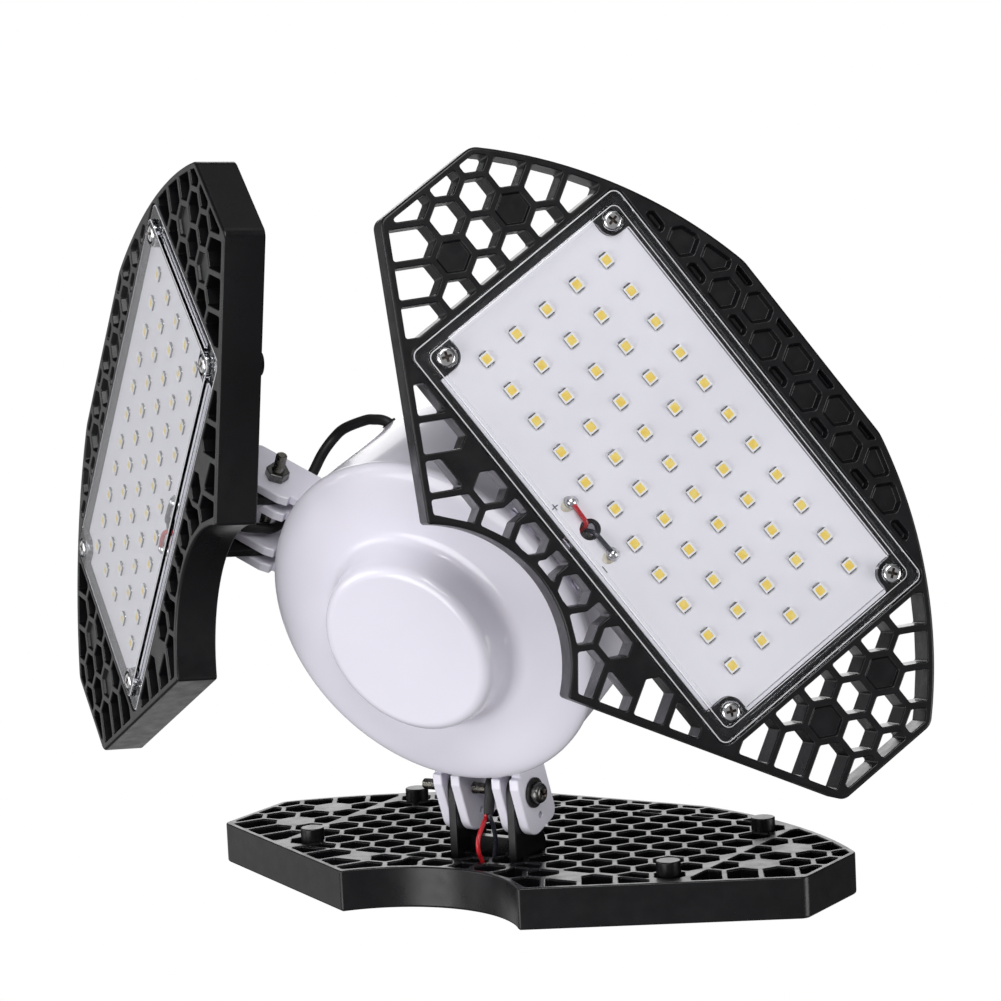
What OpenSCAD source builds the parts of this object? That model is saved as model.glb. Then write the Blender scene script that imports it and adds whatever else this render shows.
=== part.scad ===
// Folding three-wing ceiling light with a screw base.
// Origin at the seat of the screw base, +Z up into the lamp holder.

/* [Wings] */
// Fold of the right-hand wing below flat, degrees
fold_a = 51.2; // [0:0.1:90]
// Fold of the left-hand wing below flat, degrees
fold_b = 42.8; // [0:0.1:90]
// Fold of the lower wing below flat, degrees
fold_c = 69.3; // [0:0.1:90]
// Half length of a wing along its hinge
wing_half = 89.9; // [86:0.1:94]
// Radius of the curved outer edge of a wing
wing_r = 124.9; // [122:0.1:128]
// Radius of the scooped inner edge of a wing
scoop_r = 34.2; // [32:0.1:36]
// Thickness of a wing from back edge to front edge
wing_t = 10.9; // [9:0.1:13]
// Thickness of the rim around a wing
rim_t = 1.8; // [1.2:0.1:2.6]
// Spacing of the honeycomb cells across their flats
cell_pitch = 9.25; // [8:0.05:11]
// Thickness of the ribs between the cells
rib_t = 1.7; // [1:0.1:2.6]

/* [Light boards] */
// Spacing of the light chips
chip_pitch = 9.5; // [8:0.1:11]
// Length of a light chip
chip_l = 3.5; // [2.8:0.1:5]
// Width of a light chip
chip_w = 2.8; // [2:0.1:3.5]
// Height of the clear cover above the board
lens_h = 3.0; // [2.4:0.1:4]
// Wall thickness of the clear cover
lens_t = 1.2; // [1:0.1:1.6]

/* [Hub] */
// Outer radius of the round cover
cover_r = 46.5; // [44:0.1:48]
// Radius of the round boss on the cover
boss_r = 25.6; // [20:0.1:30]
// Distance of the hinges from the middle
hinge_r = 53.8; // [50:0.1:58]
// Diameter of the hinge screws
screw_d = 3; // [2.5:0.1:4]
// Length of the screw base
base_l = 27; // [22:0.5:30]

/* [Hidden] */

fold = [fold_a, fold_b, fold_c];
az = [0, -120, 120];
hinge_z = -60;
ah = 41.7;          // hinge above the first row of chips, wing frame
zh = -26.1;         // hinge behind the chips, wing frame
z_front = 1.8;      // front edge of a wing
z_back = z_front - wing_t;
scoop_y = 95.5;     // centre of both wing arcs
flat_y = -26.5;
z_floor = -3.4;
z_pcb = -1.6;
z_strip = 0.2;
sx = 0.5038; sy = 0.8638; sc = 77.6;   // slanted edge: sx*|x| + sy*y = sc
lug_x = 9.0; lug_t = 2.4;
scr = [[54.8, -6.8], [-54.8, -6.8], [54.8, 45.6], [-54.8, 45.6]];
wire_hole = [0.7, 44.2];
pad_r = [8.7, 43.7]; pad_b = [-7.4, 43.7];

black = [0.03, 0.03, 0.035]; white = [0.93, 0.92, 0.97]; steel = [0.75, 0.75, 0.77];

// ---------- helpers ----------
function arcp(cx, cy, r, a0, a1, n) = [for (i = [0:n]) [cx + r*cos(a0+(a1-a0)*i/n), cy + r*sin(a0+(a1-a0)*i/n)]];
function rrect(x0, y0, x1, y1, r, n = 4) = concat(arcp(x1-r, y0+r, r, -90, 0, n), arcp(x1-r, y1-r, r, 0, 90, n),
  arcp(x0+r, y1-r, r, 90, 180, n), arcp(x0+r, y0+r, r, 180, 270, n));
function clip(P, n, c) = [for (i = [0:1:len(P)-1]) let (a = P[i], b = P[(i+1)%len(P)], da = n*a-c, db = n*b-c)
  each concat(da <= 0 ? [a] : [], (da < 0 && db > 0) || (da > 0 && db < 0) ? [a + (b-a)*(da/(da-db))] : [])];
function area(P, i = 0, s = 0) = i >= len(P) ? abs(s)/2 : area(P, i+1, s + P[i][0]*P[(i+1)%len(P)][1] - P[(i+1)%len(P)][0]*P[i][1]);
function cum(L, i = 0, s = 0) = i >= len(L) ? [] : concat([s], cum(L, i+1, s+len(L[i])));
module regions(L) {
  M = [for (c = L) if (len(c) > 2 && area(c) > 1.5) c];
  o = cum(M);
  polygon([for (c = M) each c], [for (i = [0:len(M)-1]) [for (j = [0:len(M[i])-1]) o[i]+j]]);
}
function ctr(k, m) = [k*cell_pitch*sqrt(3)/2, -17.4 + m*cell_pitch + (abs(k)%2 == 1 ? 0 : cell_pitch/2)];
cell_r = (cell_pitch - rib_t)/sqrt(3);
function dang(a, b) = abs(((a - b + 540) % 360) - 180);
// one cell, its far side pushed along direction `an` by len
function cell(k, m, an = 0, l = 0) = [for (i = [0:5]) ctr(k, m) + cell_r*[cos(60*i), sin(60*i)]
  + (l > 0 && dang(60*i, an) < 61 ? l*[cos(an), sin(an)] : [0, 0])];
// keep a cell inside the rim
function in_rim(P, c) = let (u = (c - [0, scoop_y])/norm(c - [0, scoop_y]))
  clip(clip(clip(clip(clip(clip(P, u, u*[0, scoop_y] + wing_r - rim_t),
    [1, 0], wing_half - rim_t), [-1, 0], wing_half - rim_t),
    [sx, sy], sc - rim_t), [-sx, sy], sc - rim_t),
    -u, -(u*[0, scoop_y] + scoop_r + rim_t));
// the hexagon with a straight neck down to the pocket of the board
function necked(k, m) = let (h = cell(k, m)) in_rim([h[0], h[1], h[2], h[3], h[4], [h[4][0], box_y1], [h[5][0], box_y1], h[5]], ctr(k, m));
function mir(P) = [for (i = [len(P)-1:-1:0]) [-P[i][0], P[i][1]]];

// cells that go right through; [k, m, stretch angle, stretch length], one half
end_cells = [[8,1,300,9],[9,2,300,9],[10,2,300,9],[11,3,0,0],[11,4,0,0],[11,5,60,9],[10,3,0,0],[10,4,0,0],
  [10,5,60,14],[9,4,0,0],[9,6,60,14],[8,2,0,0],[8,3,0,0],[8,4,0,0],[8,5,0,0],[8,6,60,16]];
box_x = 62.5; box_y0 = -14.3; box_y1 = 53.7;
strip_in = [[1,8,0,0],[3,8,0,0],[5,8,60,14],[6,7,60,14],[3,9,60,12]];
function open_half() = concat(
  [for (e = end_cells) clip(in_rim(cell(e[0], e[1], e[2], e[3]), ctr(e[0], e[1])), [-1, 0], -box_x)],
  [for (e = strip_in) clip(in_rim(cell(e[0], e[1], e[2], e[3]), ctr(e[0], e[1])), [0, -1], -box_y1)],
  [clip(in_rim(cell(4, 8, 60, 14), ctr(4, 8)), [0, -1], -(ctr(4, 8)[1] + 0.8))],
  [necked(2, 8)]);
function open_list() = concat(open_half(), [for (c = open_half()) mir(c)],
  [necked(0, 8)]);
// recessed cells on the outer strip, and the two blank cells of each end
function strip_list() = concat(
  [for (k = [-6:6]) for (m = [-1:0]) clip(clip(in_rim(cell(k, m), ctr(k, m)), [0, -1], -(flat_y + rim_t)), [0, 1], box_y0)]);
function back_list() = concat(
  [for (k = [-7:7]) for (m = [0:7]) clip(clip(clip(clip(cell(k, m), [1, 0], box_x - 1), [-1, 0], box_x - 1), [0, 1], box_y1 - 1), [0, -1], -(box_y0 + 1))],
  strip_list());

// wing outline, inset by d
function out_half(d) = let (ex = wing_half - d, yc = scoop_y - sqrt(pow(wing_r - d, 2) - ex*ex), y2 = (sc - d - sx*ex)/sy,
  k = max(0.3, 1 - d/3), q = 4*k, tx = 26.8 + d*0.55, ty = (sc - d - sx*tx)/sy)
  [[ex - 0.69*1.7*k, yc - 0.72*1.7*k], [ex - 0.32*k, yc + 0.13*k], [ex, yc + 1.7*k],
   [ex, y2 - 1.73*k], [ex - 0.4*k, y2 - 0.23*k], [ex - 1.49*k, y2 + 0.87*k],
   [tx + 1.5*k, ty - 0.87*k], [tx + 0.5*k, ty - 0.75*k], [tx - 0.3*k, ty - 1.4*k], [0, ty - 1.4*k - 5]];
module outline(d = 0) {
  h = out_half(d);
  difference() {
    intersection() {
      polygon(concat([[0, flat_y + d], [60, flat_y + d]], h, [for (i = [len(h)-1:-1:0]) [-h[i][0], h[i][1]]], [[-60, flat_y + d]]));
      translate([0, scoop_y]) circle(r = wing_r - d, $fn = 180);
    }
    translate([0, scoop_y]) circle(r = scoop_r + d, $fn = 90);
  }
}

// sweep of a round wire through points
function cr(a, b, c, d, t) = 0.5*((2*b) + (c - a)*t + (2*a - 5*b + 4*c - d)*t*t + (3*b - a - 3*c + d)*t*t*t);
function smooth(P, n) = let (q = concat([2*P[0]-P[1]], P, [2*P[len(P)-1]-P[len(P)-2]]))
  concat([for (i = [1:len(q)-3]) for (j = [0:n-1]) cr(q[i-1], q[i], q[i+1], q[i+2], j/n)], [P[len(P)-1]]);
function unit(v) = v/norm(v);
function tang(P, i) = unit(P[min(i+1, len(P)-1)] - P[max(i-1, 0)]);
function frames(P, u, i = 0) = i >= len(P) ? [] : let (t = tang(P, i), w = unit(u - (u*t)*t)) concat([w], frames(P, w, i+1));
module tube(P, r, up = [0.13, 0.21, 0.97], s = 8) {
  F = frames(P, up);
  n = len(P);
  polyhedron([for (i = [0:n-1]) let (t = tang(P, i), a = F[i], b = cross(t, a)) for (j = [0:s-1]) P[i] + r*(cos(360*j/s)*a + sin(360*j/s)*b)],
    concat([[for (j = [0:s-1]) j]], [for (i = [0:n-2]) for (j = [0:s-1]) [i*s+j, (i+1)*s+j, (i+1)*s+(j+1)%s, i*s+(j+1)%s]],
    [[for (j = [s-1:-1:0]) (n-1)*s+j]]));
}

// ---------- placement ----------
flat = [[0, -1, 0, 0], [-1, 0, 0, 0], [0, 0, -1, 0]];
module at_wing(i) {
  translate([0, 0, hinge_z]) rotate([0, 0, az[i]]) translate([hinge_r, 0, 0]) rotate([0, -fold[i], 0])
    multmatrix([[0, -1, 0, 0], [-1, 0, 0, 0], [0, 0, -1, 0], [0, 0, 0, 1]]) translate([0, -ah, -zh]) children();
}
// wing frame point to the un-rotated hub frame (azimuth 0)
function w2h(p, t) = let (q = [-(p[1] - ah), -p[0], -(p[2] - zh)])
  [hinge_r + q[0]*cos(t) - q[2]*sin(t), q[1], hinge_z + q[0]*sin(t) + q[2]*cos(t)];
module at_hub(i) { rotate([0, 0, az[i]]) children(); }
module thrice() { for (i = [0:2]) rotate([0, 0, 120*i]) children(); }

// ---------- wing pieces ----------
module lug2() { // in (y, z), thick along x
  polygon(concat([[ah + 5, z_floor]], arcp(ah, zh, 5, 0, -180, 18), [[31.2, z_back - 1.5], [31.2, z_floor]]));
}
module frame() color(black) difference() {
  union() {
    translate([0, 0, z_back]) linear_extrude(wing_t) difference() { outline(0); regions(open_list()); }
    for (s = [-1, 1]) translate([s*lug_x, 0, 0]) rotate([90, 0, 90]) translate([0, 0, -lug_t/2]) linear_extrude(lug_t) lug2();
    translate([-lug_x, 37, z_back - 3.7]) cube([2*lug_x, 3.2, 6]);
    for (c = scr) translate([c[0], c[1], z_back - 3.3]) cylinder(r = 3.2, h = 6, $fn = 32);
  }
  translate([0, 0, z_pcb]) linear_extrude(10) polygon(rrect(-60.9, -13.1, 60.9, 52.3, 2.6));
  translate([0, 0, z_strip]) linear_extrude(10) regions(strip_list());
  translate([0, 0, 1.0]) linear_extrude(10) regions(concat([cell(9, 3), cell(9, 5)], [mir(cell(9, 3)), mir(cell(9, 5))]));
  translate([0, 0, z_back - 10]) linear_extrude(z_floor - z_back + 10) difference() {
    difference() { regions(back_list()); for (c = scr) translate(c) circle(r = 3.2, $fn = 32); }
    for (s = [-1, 1]) translate([s*lug_x - lug_t/2, 31.2]) square([lug_t, ah + 5 - 31.2]);
    translate([-lug_x, 37]) square([2*lug_x, 3.2]);
  }
  for (c = scr) translate([c[0], c[1], z_back - 1.5]) cylinder(r = 1.15, h = 20, $fn = 24);
  // channel under the board for the leads, with a hole into each of two pockets
  translate([0, 0, -3]) linear_extrude(5) polygon(concat(arcp(wire_hole[0], wire_hole[1], 2.2, 172, 368, 14), arcp(1.5, 49.9, 2.0, -4, 176, 12)));
  for (p = [[wire_hole[0], wire_hole[1], 1.9], [1.5, 49.9, 1.75]]) translate([p[0], p[1], -4.2]) cylinder(r = p[2], h = 2, $fn = 32);
  translate([-20, ah, zh]) rotate([0, 90, 0]) cylinder(r = screw_d/2 + 0.08, h = 40, $fn = 32);
}
module led_board() color([0.9, 0.9, 0.95]) translate([0, 0, z_pcb]) linear_extrude(-z_pcb) difference() {
  polygon(rrect(-57.8, -9.5, 57.8, 49.9, 1));
  for (c = scr) translate(c) circle(r = 3.6, $fn = 32);
  for (s = [-1, 1]) translate([s*56.8 - 2, -11.8]) square([4, 5]);
  translate(wire_hole) circle(r = 2.6, $fn = 32);
}
function chip(i, j) = [(5.07 - i)*chip_pitch, (i == 5 && j == 4 ? 3.83 : j)*chip_pitch];
module leds() color([1, 0.85, 0.35]) for (i = [0:10]) for (j = [0:4])
  translate([chip(i, j)[0] - chip_l/2, chip(i, j)[1] - chip_w/2, 0]) cube([chip_l, chip_w, 0.75]);
module lens() color([0.9, 0.95, 1, 0.35]) difference() {
  union() {
    difference() {
      union() {
        translate([0, 0, z_pcb]) linear_extrude(1.5 - z_pcb) polygon(rrect(-60.7, -12.9, 60.7, 52.1, 2.4));
        translate([0, 0, 0]) linear_extrude(lens_h) polygon(rrect(-57.9, -10.1, 57.9, 49.3, 2));
      }
      translate([0, 0, z_pcb - 1]) linear_extrude(1.3 - z_pcb) polygon(rrect(-59.3, -11.5, 59.3, 50.7, 1.4));
      translate([0, 0, 0]) linear_extrude(lens_h - lens_t) polygon(rrect(-56.7, -8.9, 56.7, 48.1, 1.4));
    }
    for (c = scr) translate([c[0], c[1], z_pcb]) cylinder(r = 3.35, h = 3.8, $fn = 32);
  }
  for (c = scr) translate([c[0], c[1], -5]) cylinder(r = 1.4, h = 12, $fn = 24);
  for (c = scr) translate([c[0], c[1], 1.2]) cylinder(r = 2.75, h = 5, $fn = 32);
}
module pan(r, h, k = 0.55) rotate_extrude($fn = 40) polygon(concat([[0, 0], [r, 0], [r, h*k]], [for (i = [1:6]) [r*cos(90*i/6*0.94), h*k + (h - h*k)*sin(90*i/6)/sin(90)]], [[0, h]]));
module cross_slot(w, l) linear_extrude(3) polygon([[w,w],[w,l],[-w,l],[-w,w],[-l,w],[-l,-w],[-w,-w],[-w,-l],[w,-l],[w,-w],[l,-w],[l,w]]);
module lens_screws() color(steel) for (c = scr) translate([c[0], c[1], 0]) {
  difference() {
    union() { translate([0, 0, 1.2]) pan(2.45, 2.0); translate([0, 0, z_back - 1.2]) cylinder(r = 1.15, h = 11.6, $fn = 24); }
    translate([0, 0, 2.2]) cross_slot(0.3, 1.3);
  }
}
module solder_joints() color(steel) for (c = [pad_r, pad_b]) translate([c[0], c[1], 0])
  rotate_extrude($fn = 32) polygon([[0, 0], [2.3, 0], [2.2, 0.15], [1.8, 0.35], [1.45, 0.8], [1.0, 1.2], [0.45, 1.38], [0, 1.4]]);

// ---------- hub ----------
function zz(h) = -60 - h;
module front_cover() color(white) rotate_extrude($fn = 120) polygon(concat(
  [for (p = [[0, 20], [22.6, 20]]) [p[0], zz(p[1])]], arcp(22.6, zz(18.2), 1.8, -90, -15, 5),
  [for (p = [[24.9, 14.5], [boss_r, 11.4], [26.5, 10.1], [28.2, 9.4], [31, 9.1], [38, 8.6], [43, 8.0], [45, 7.5], [46.1, 6.8], [cover_r, 5.8], [cover_r, 4.4],
    [45.0, 4.4], [45.0, 5.2], [43.2, 6.2], [38, 6.8], [30, 7.2], [24.6, 7.5], [23.6, 8.4], [22.8, 13], [21.8, 17.6], [20.6, 18], [0, 18]])
    [p[0], zz(p[1])]]));
module housing_body() rotate_extrude($fn = 120) polygon([for (p = [[43.0, 4.2], [45.9, 4.2], [45.7, -8], [44.6, -31], [43.4, -33.4], [40.5, -35.8], [30, -41.5], [22.5, -46.2], [19.4, -49.6], [17.6, -54], [17.0, -60],
    [15.4, -60], [15.4, -54], [17.2, -48.8], [21, -44.6], [29, -39.4], [39.4, -33.8], [41.6, -31.8], [42.4, -30.2], [43.4, -8], [43.4, 1]])
    [p[0], zz(p[1])]]);
function ear_pts() = concat([[43.6, zz(-8.2)]], [for (p = arcp(65.3 - 3, -8.2 + 3, 3, -90, 0, 8)) [p[0], zz(p[1])]],
  [for (p = arcp(65.3 - 5, 6.2 - 5, 5, 0, 90, 8)) [p[0], zz(p[1])]], [[49.5, zz(6.2)], [46.9, zz(5.4)], [46.9, zz(4)], [43.6, zz(4)]]);
ear_x = [-11.75, -6.25, 6.25, 11.75];
module ears() for (y = ear_x) translate([0, y, 0]) rotate([90, 0, 0]) translate([0, 0, -1.4]) linear_extrude(2.8) polygon(ear_pts());
exit_az = 28.6; // sheath leaves the drum this far round from its wing
module rear_housing() color(white) difference() {
  union() {
    housing_body();
    thrice() ears();
    thrice() rotate([0, 0, 60]) translate([34, 0, zz(-36)]) mirror([0, 0, 1]) cylinder(r = 3, h = 13.9, $fn = 24);
  }
  thrice() translate([hinge_r, 0, hinge_z]) rotate([90, 0, 0]) translate([0, 0, -20]) cylinder(r = screw_d/2 + 0.05, h = 40, $fn = 32);
  thrice() rotate([0, 0, exit_az]) translate([38, 0, zz(-30.4)]) rotate([0, 90, 0]) cylinder(r = 2.1, h = 12, $fn = 32);
  thrice() rotate([0, 0, 60]) translate([34, 0, zz(-21)]) cylinder(r = 1.1, h = 10, $fn = 20);
}
bz = zz(-21);   // upper face of the driver board is above this
module driver_board() color([0.1, 0.35, 0.2]) translate([0, 0, bz - 1.6]) linear_extrude(1.6) difference() {
  circle(r = 40, $fn = 90);
  for (i = [0:2]) rotate(60 + 120*i) translate([34, 0]) circle(r = 1.3, $fn = 20);
}
module driver_screws() color(steel) thrice() rotate([0, 0, 60]) translate([34, 0, bz - 1.6]) mirror([0, 0, 1])
  difference() { union() { pan(2.4, 1.8); translate([0, 0, -7]) cylinder(r = 1.1, h = 7.1, $fn = 20); } translate([0, 0, 1]) cross_slot(0.3, 1.2); }
module driver_capacitors() color([0.12, 0.12, 0.3]) for (p = [[-16, 10], [-16, -10]]) translate([p[0], p[1], bz])
  rotate_extrude($fn = 48) polygon([[0, 0], [4.6, 0], [5, 0.4], [5, 1.6], [4.6, 2.1], [5, 2.6], [5, 12.2], [4.6, 12.6], [0, 12.6]]);
module driver_transformer() color([0.8, 0.7, 0.2]) translate([6, 0, bz]) {
  translate([-7, -8, 0]) cube([14, 16, 1.5]);
  difference() { translate([-6.5, -6, 1.5]) cube([13, 12, 9.5]); translate([-5, -7, 3.2]) cube([10, 2.2, 6]); translate([-5, 4.8, 3.2]) cube([10, 2.2, 6]); }
  for (s = [-1, 1]) translate([-4.8, s > 0 ? 4.8 : -7.2, 3.4]) cube([9.6, 2.4, 5.6]);
}
module driver_rectifier() color([0.08, 0.08, 0.08]) translate([-3, 22, bz]) cube([9, 6.5, 3.2]);
module driver_chips() color([0.08, 0.08, 0.08]) for (p = [[20, 14], [20, -16], [-30, 0]]) translate([p[0], p[1], bz]) cube([6, 5, 1.6]);
module driver_film_capacitor() color([0.75, 0.2, 0.12]) translate([-6, -28, bz]) cube([13, 6, 9]);
module mains_wires() color([0.15, 0.15, 0.15]) {
  tube(smooth([[-8, 18, bz + 0.02], [-8, 18, bz + 8], [-9, 12, bz + 20], [-9.6, 5, zz(-50)], [-10.2, 2, zz(-58)], [-10.45, 0, zz(-66)]], 8), 0.8);
  tube(smooth([[8, 18, bz + 0.02], [8, 18, bz + 8], [9, 10, bz + 20], [6, 3, zz(-52)], [2, 1, zz(-66)], [0, 0, zz(-82)]], 8), 0.8);
}
// screw base: rings that follow the pitch of the thread
function thread_z(i) = 2.6 + 3.62*i;
module base_shell() color([0.8, 0.8, 0.82]) rotate_extrude($fn = 90) polygon(concat(
  [[14.2, 0], [14.2, 1.1], [12.9, 1.5]],
  [for (i = [0:4]) for (q = [[12.15, -0.5], [12.3, 0.2], [12.9, 0.9], [13.2, 1.6], [13.2, 1.9], [12.9, 2.5], [12.35, 3.05]]) [q[0], thread_z(i) + q[1]]],
  [[12.0, 20.9], [11.2, 22.0], [10.4, 22.4], [10.4, 21.6], [11.4, 20.6],
   [11.4, 2.4], [11.4, 0]]));
module base_insulator() color([0.05, 0.05, 0.06]) rotate_extrude($fn = 72) polygon([[11.3, 20.7], [10.35, 21.5], [10.35, 22.4], [9.6, 23.6], [6.2, 25.4], [4.9, 25.4], [4.9, 24.2], [3.4, 24.2], [3.4, 20.7]]);
module base_contact() color([0.8, 0.8, 0.82]) rotate_extrude($fn = 48) polygon([[0, 27], [2.4, 26.9], [4.2, 26.3], [4.8, 25.5], [4.8, 24.3], [3.3, 24.3], [3.3, 23.6], [1.0, 23.6], [0, 23.6]]);

// lead of each wing: black sheath with two wires
sh = smooth([for (p = [[28.6, 42.3, -30.4], [28.6, 43.7, -30.4], [28.5, 45.0, -30.4], [27.2, 46.5, -30.4], [24.9, 47.9, -30.4], [21.9, 49.4, -30.5], [15, 52.2, -29.5], [10.8, 53.1, -28], [7.6, 52.9, -23.6], [5, 51.3, -16.5], [1, 50.4, -8], [-1.15, 49.9, -2.5], [-2.04, 50.63, 1.6], [-2.24, 53.64, 3.9], [-2.11, 57.04, 6.3]])
  [p[1]*cos(p[0]), p[1]*sin(p[0]), zz(p[2])]], 5);
module lead_grommets() color([0.05, 0.05, 0.05]) thrice() rotate([0, 0, exit_az]) translate([42.2, 0, zz(-30.4)]) rotate([0, 90, 0])
  rotate_extrude($fn = 32) polygon([[1.65, 0], [2.05, 0], [2.05, 2.6], [1.9, 2.8], [1.65, 2.8]]);
module sheath(i) color([0.03, 0.03, 0.03]) at_hub(i) tube(sh, 1.4);
lead_end = [57.12, -2.1, zz(6.39)];
function red_top(i) = fold[i] > 60 ? [[1.9, 48.9, -18.4], [2.0, 51.8, -15.2], [2.0, 52.1, -11.8]] : [[1.8, 45.9, -15.9], [2.0, 49.0, -13.7], [2.0, 51.0, -11.4]];
function black_top(i) = fold[i] > 60 ? [[3.1, 46.1, -17.4]] : [[3.1, 44.8, -16.6]];
red_pts = [[1.9, 50.4, -8.6], [1.7, 49.9, -5.2], [1.65, 49.3, -2.95], [1.7, 47.9, -2.36],
  [1.7, 46.3, -2.33], [1.8, 45.0, -1.7], [2.1, 44.4, -0.3], [3.1, 44.0, 0.85], [5.2, 43.9, 1.0], [7.8, 43.7, 0.85]];
black_pts = [[3.1, 45.2, -13.4], [2.5, 44.9, -9.8], [1.7, 44.8, -6.6], [0.5, 44.3, -3.6], [0.1, 44.1, -1.6], [-0.3, 44.0, 0.1], [-1.3, 43.9, 0.9],
  [-3.6, 43.8, 1.0], [-6.5, 43.7, 0.85]];
function wire_path(i, s) = smooth(concat([lead_end + [0, 0.62*s, 0], lead_end + [0.9, 0.64*s, -0.7]], [for (p = s > 0 ? concat(red_top(i), red_pts) : concat(black_top(i), black_pts)) w2h(p, fold[i])]), 5);
module red_wire(i) color([0.75, 0.02, 0.04]) at_hub(i) tube(wire_path(i, 1), 0.6);
module black_wire(i) color([0.05, 0.05, 0.07]) at_hub(i) tube(wire_path(i, -1), 0.6);

// hinge hardware, heads on the same side of every hinge
module along_hinge() thrice() translate([hinge_r, 0, hinge_z]) rotate([-90, 0, 0]) children();
module hinge_screws() color([0.35, 0.35, 0.37]) along_hinge() {
  difference() {
    union() { translate([0, 0, -13.95]) mirror([0, 0, 1]) pan(2.8, 2.3); translate([0, 0, -14]) cylinder(r = screw_d/2, h = 34.6, $fn = 32); }
    translate([0, 0, -19.2 + 0.4]) cross_slot(0.4, 1.6);
  }
}
module hinge_washers() color([0.03, 0.03, 0.03]) along_hinge() translate([0, 0, -13.95]) linear_extrude(0.8) difference() { circle(r = 4, $fn = 48); circle(r = screw_d/2 + 0.02, $fn = 32); }
module hinge_nuts() color([0.3, 0.3, 0.32]) along_hinge() translate([0, 0, 13.15]) linear_extrude(2.4) difference() { circle(r = 3.18, $fn = 6); circle(r = screw_d/2 + 0.02, $fn = 32); }

front_cover();
rear_housing();
driver_board();
driver_capacitors();
driver_transformer();
driver_rectifier();
driver_chips();
driver_film_capacitor();
driver_screws();
mains_wires();
base_shell();
base_insulator();
base_contact();
lead_grommets();
hinge_screws();
hinge_washers();
hinge_nuts();
sheath(0);  // sheath_a
sheath(1);  // sheath_b
sheath(2);  // sheath_c
at_wing(0) frame();  // frame_a
at_wing(0) led_board();  // led_board_a
at_wing(0) leds();  // leds_a
at_wing(0) lens();  // lens_a
at_wing(0) lens_screws();  // lens_screws_a
at_wing(0) solder_joints();  // solder_joints_a
red_wire(0);  // red_wire_a
black_wire(0);  // black_wire_a
at_wing(1) frame();  // frame_b
at_wing(1) led_board();  // led_board_b
at_wing(1) leds();  // leds_b
at_wing(1) lens();  // lens_b
at_wing(1) lens_screws();  // lens_screws_b
at_wing(1) solder_joints();  // solder_joints_b
red_wire(1);  // red_wire_b
black_wire(1);  // black_wire_b
at_wing(2) frame();  // frame_c
at_wing(2) led_board();  // led_board_c
at_wing(2) leds();  // leds_c
at_wing(2) lens();  // lens_c
at_wing(2) lens_screws();  // lens_screws_c
at_wing(2) solder_joints();  // solder_joints_c
red_wire(2);  // red_wire_c
black_wire(2);  // black_wire_c
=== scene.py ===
import math
import bpy
import numpy as np
from mathutils import Matrix, Vector
from mathutils.geometry import delaunay_2d_cdt


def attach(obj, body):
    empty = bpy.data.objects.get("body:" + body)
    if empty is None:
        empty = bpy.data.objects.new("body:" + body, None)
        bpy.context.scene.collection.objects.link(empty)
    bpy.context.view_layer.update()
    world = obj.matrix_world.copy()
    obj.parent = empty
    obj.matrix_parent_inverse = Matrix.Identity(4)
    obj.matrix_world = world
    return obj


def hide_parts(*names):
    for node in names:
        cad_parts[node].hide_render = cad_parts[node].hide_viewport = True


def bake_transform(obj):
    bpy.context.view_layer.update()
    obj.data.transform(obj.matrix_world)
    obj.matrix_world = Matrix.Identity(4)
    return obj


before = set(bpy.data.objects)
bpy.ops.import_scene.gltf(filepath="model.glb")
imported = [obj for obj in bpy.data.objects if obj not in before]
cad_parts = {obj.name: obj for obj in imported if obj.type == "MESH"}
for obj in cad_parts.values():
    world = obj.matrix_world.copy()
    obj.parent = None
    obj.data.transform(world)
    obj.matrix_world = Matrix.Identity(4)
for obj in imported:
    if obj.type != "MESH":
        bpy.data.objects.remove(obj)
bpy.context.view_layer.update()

scene = bpy.context.scene
rng = np.random.default_rng(11)

# ------------------------------------------------------------------ camera
cam_data = bpy.data.cameras.new("camera")
cam_data.sensor_width = 36
cam_data.lens = 133.7912282
cam_data.clip_start, cam_data.clip_end = 0.02, 60
cam = bpy.data.objects.new("camera", cam_data)
scene.collection.objects.link(cam)
cam.matrix_world = Matrix((
    (0.62523792, 0.41160553, 0.66306744, 0.6538984),
    (0.623334, -0.77461083, -0.1069242, -0.1149019),
    (0.46960863, 0.48016555, -0.74088379, -0.7463598),
    (0, 0, 0, 1)))
scene.camera = cam
CR, CU, CB = (np.array(cam.matrix_world.col[i][:3]) for i in range(3))   # right, up, back

# ------------------------------------------------------------------ sizes, in millimetres, as in the CAD
AZ = {"a": 0.0, "b": -120.0, "c": 120.0}
FOLD = {"a": 51.2, "b": 42.8, "c": 69.3}
HINGE_R, HINGE_Z = 53.8, -60.0
AH, ZH = 41.7, -26.1
Z_FRONT, Z_BACK, Z_FLOOR, Z_PCB, Z_STRIP = 1.8, -9.1, -3.4, -1.6, 0.2
WING_HALF, WING_R, SCOOP_R, RIM_T = 89.9, 124.9, 34.2, 1.8
PITCH, RIB = 9.25, 1.7
SCOOP_Y, FLAT_Y = 95.5, -26.5
SX, SY, SC = 0.5038, 0.8638, 77.6
LUG_X, LUG_T = 9.0, 2.4
SCR = [(54.8, -6.8), (-54.8, -6.8), (54.8, 45.6), (-54.8, 45.6)]
WIRE_HOLE = (0.7, 44.2)
PAD_R, PAD_B = (8.7, 43.7), (-7.4, 43.7)
BOX_X, BOX_Y0, BOX_Y1 = 62.5, -14.3, 53.7
CELL_R = (PITCH - RIB) / math.sqrt(3)


def rot(axis, deg):
    return np.array(Matrix.Rotation(math.radians(deg), 4, axis))


def tr(x, y, z):
    return np.array(Matrix.Translation((x, y, z)))


def hub_at(w):
    """The hub frame turned to wing w's azimuth."""
    return rot("Z", AZ[w])


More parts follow.
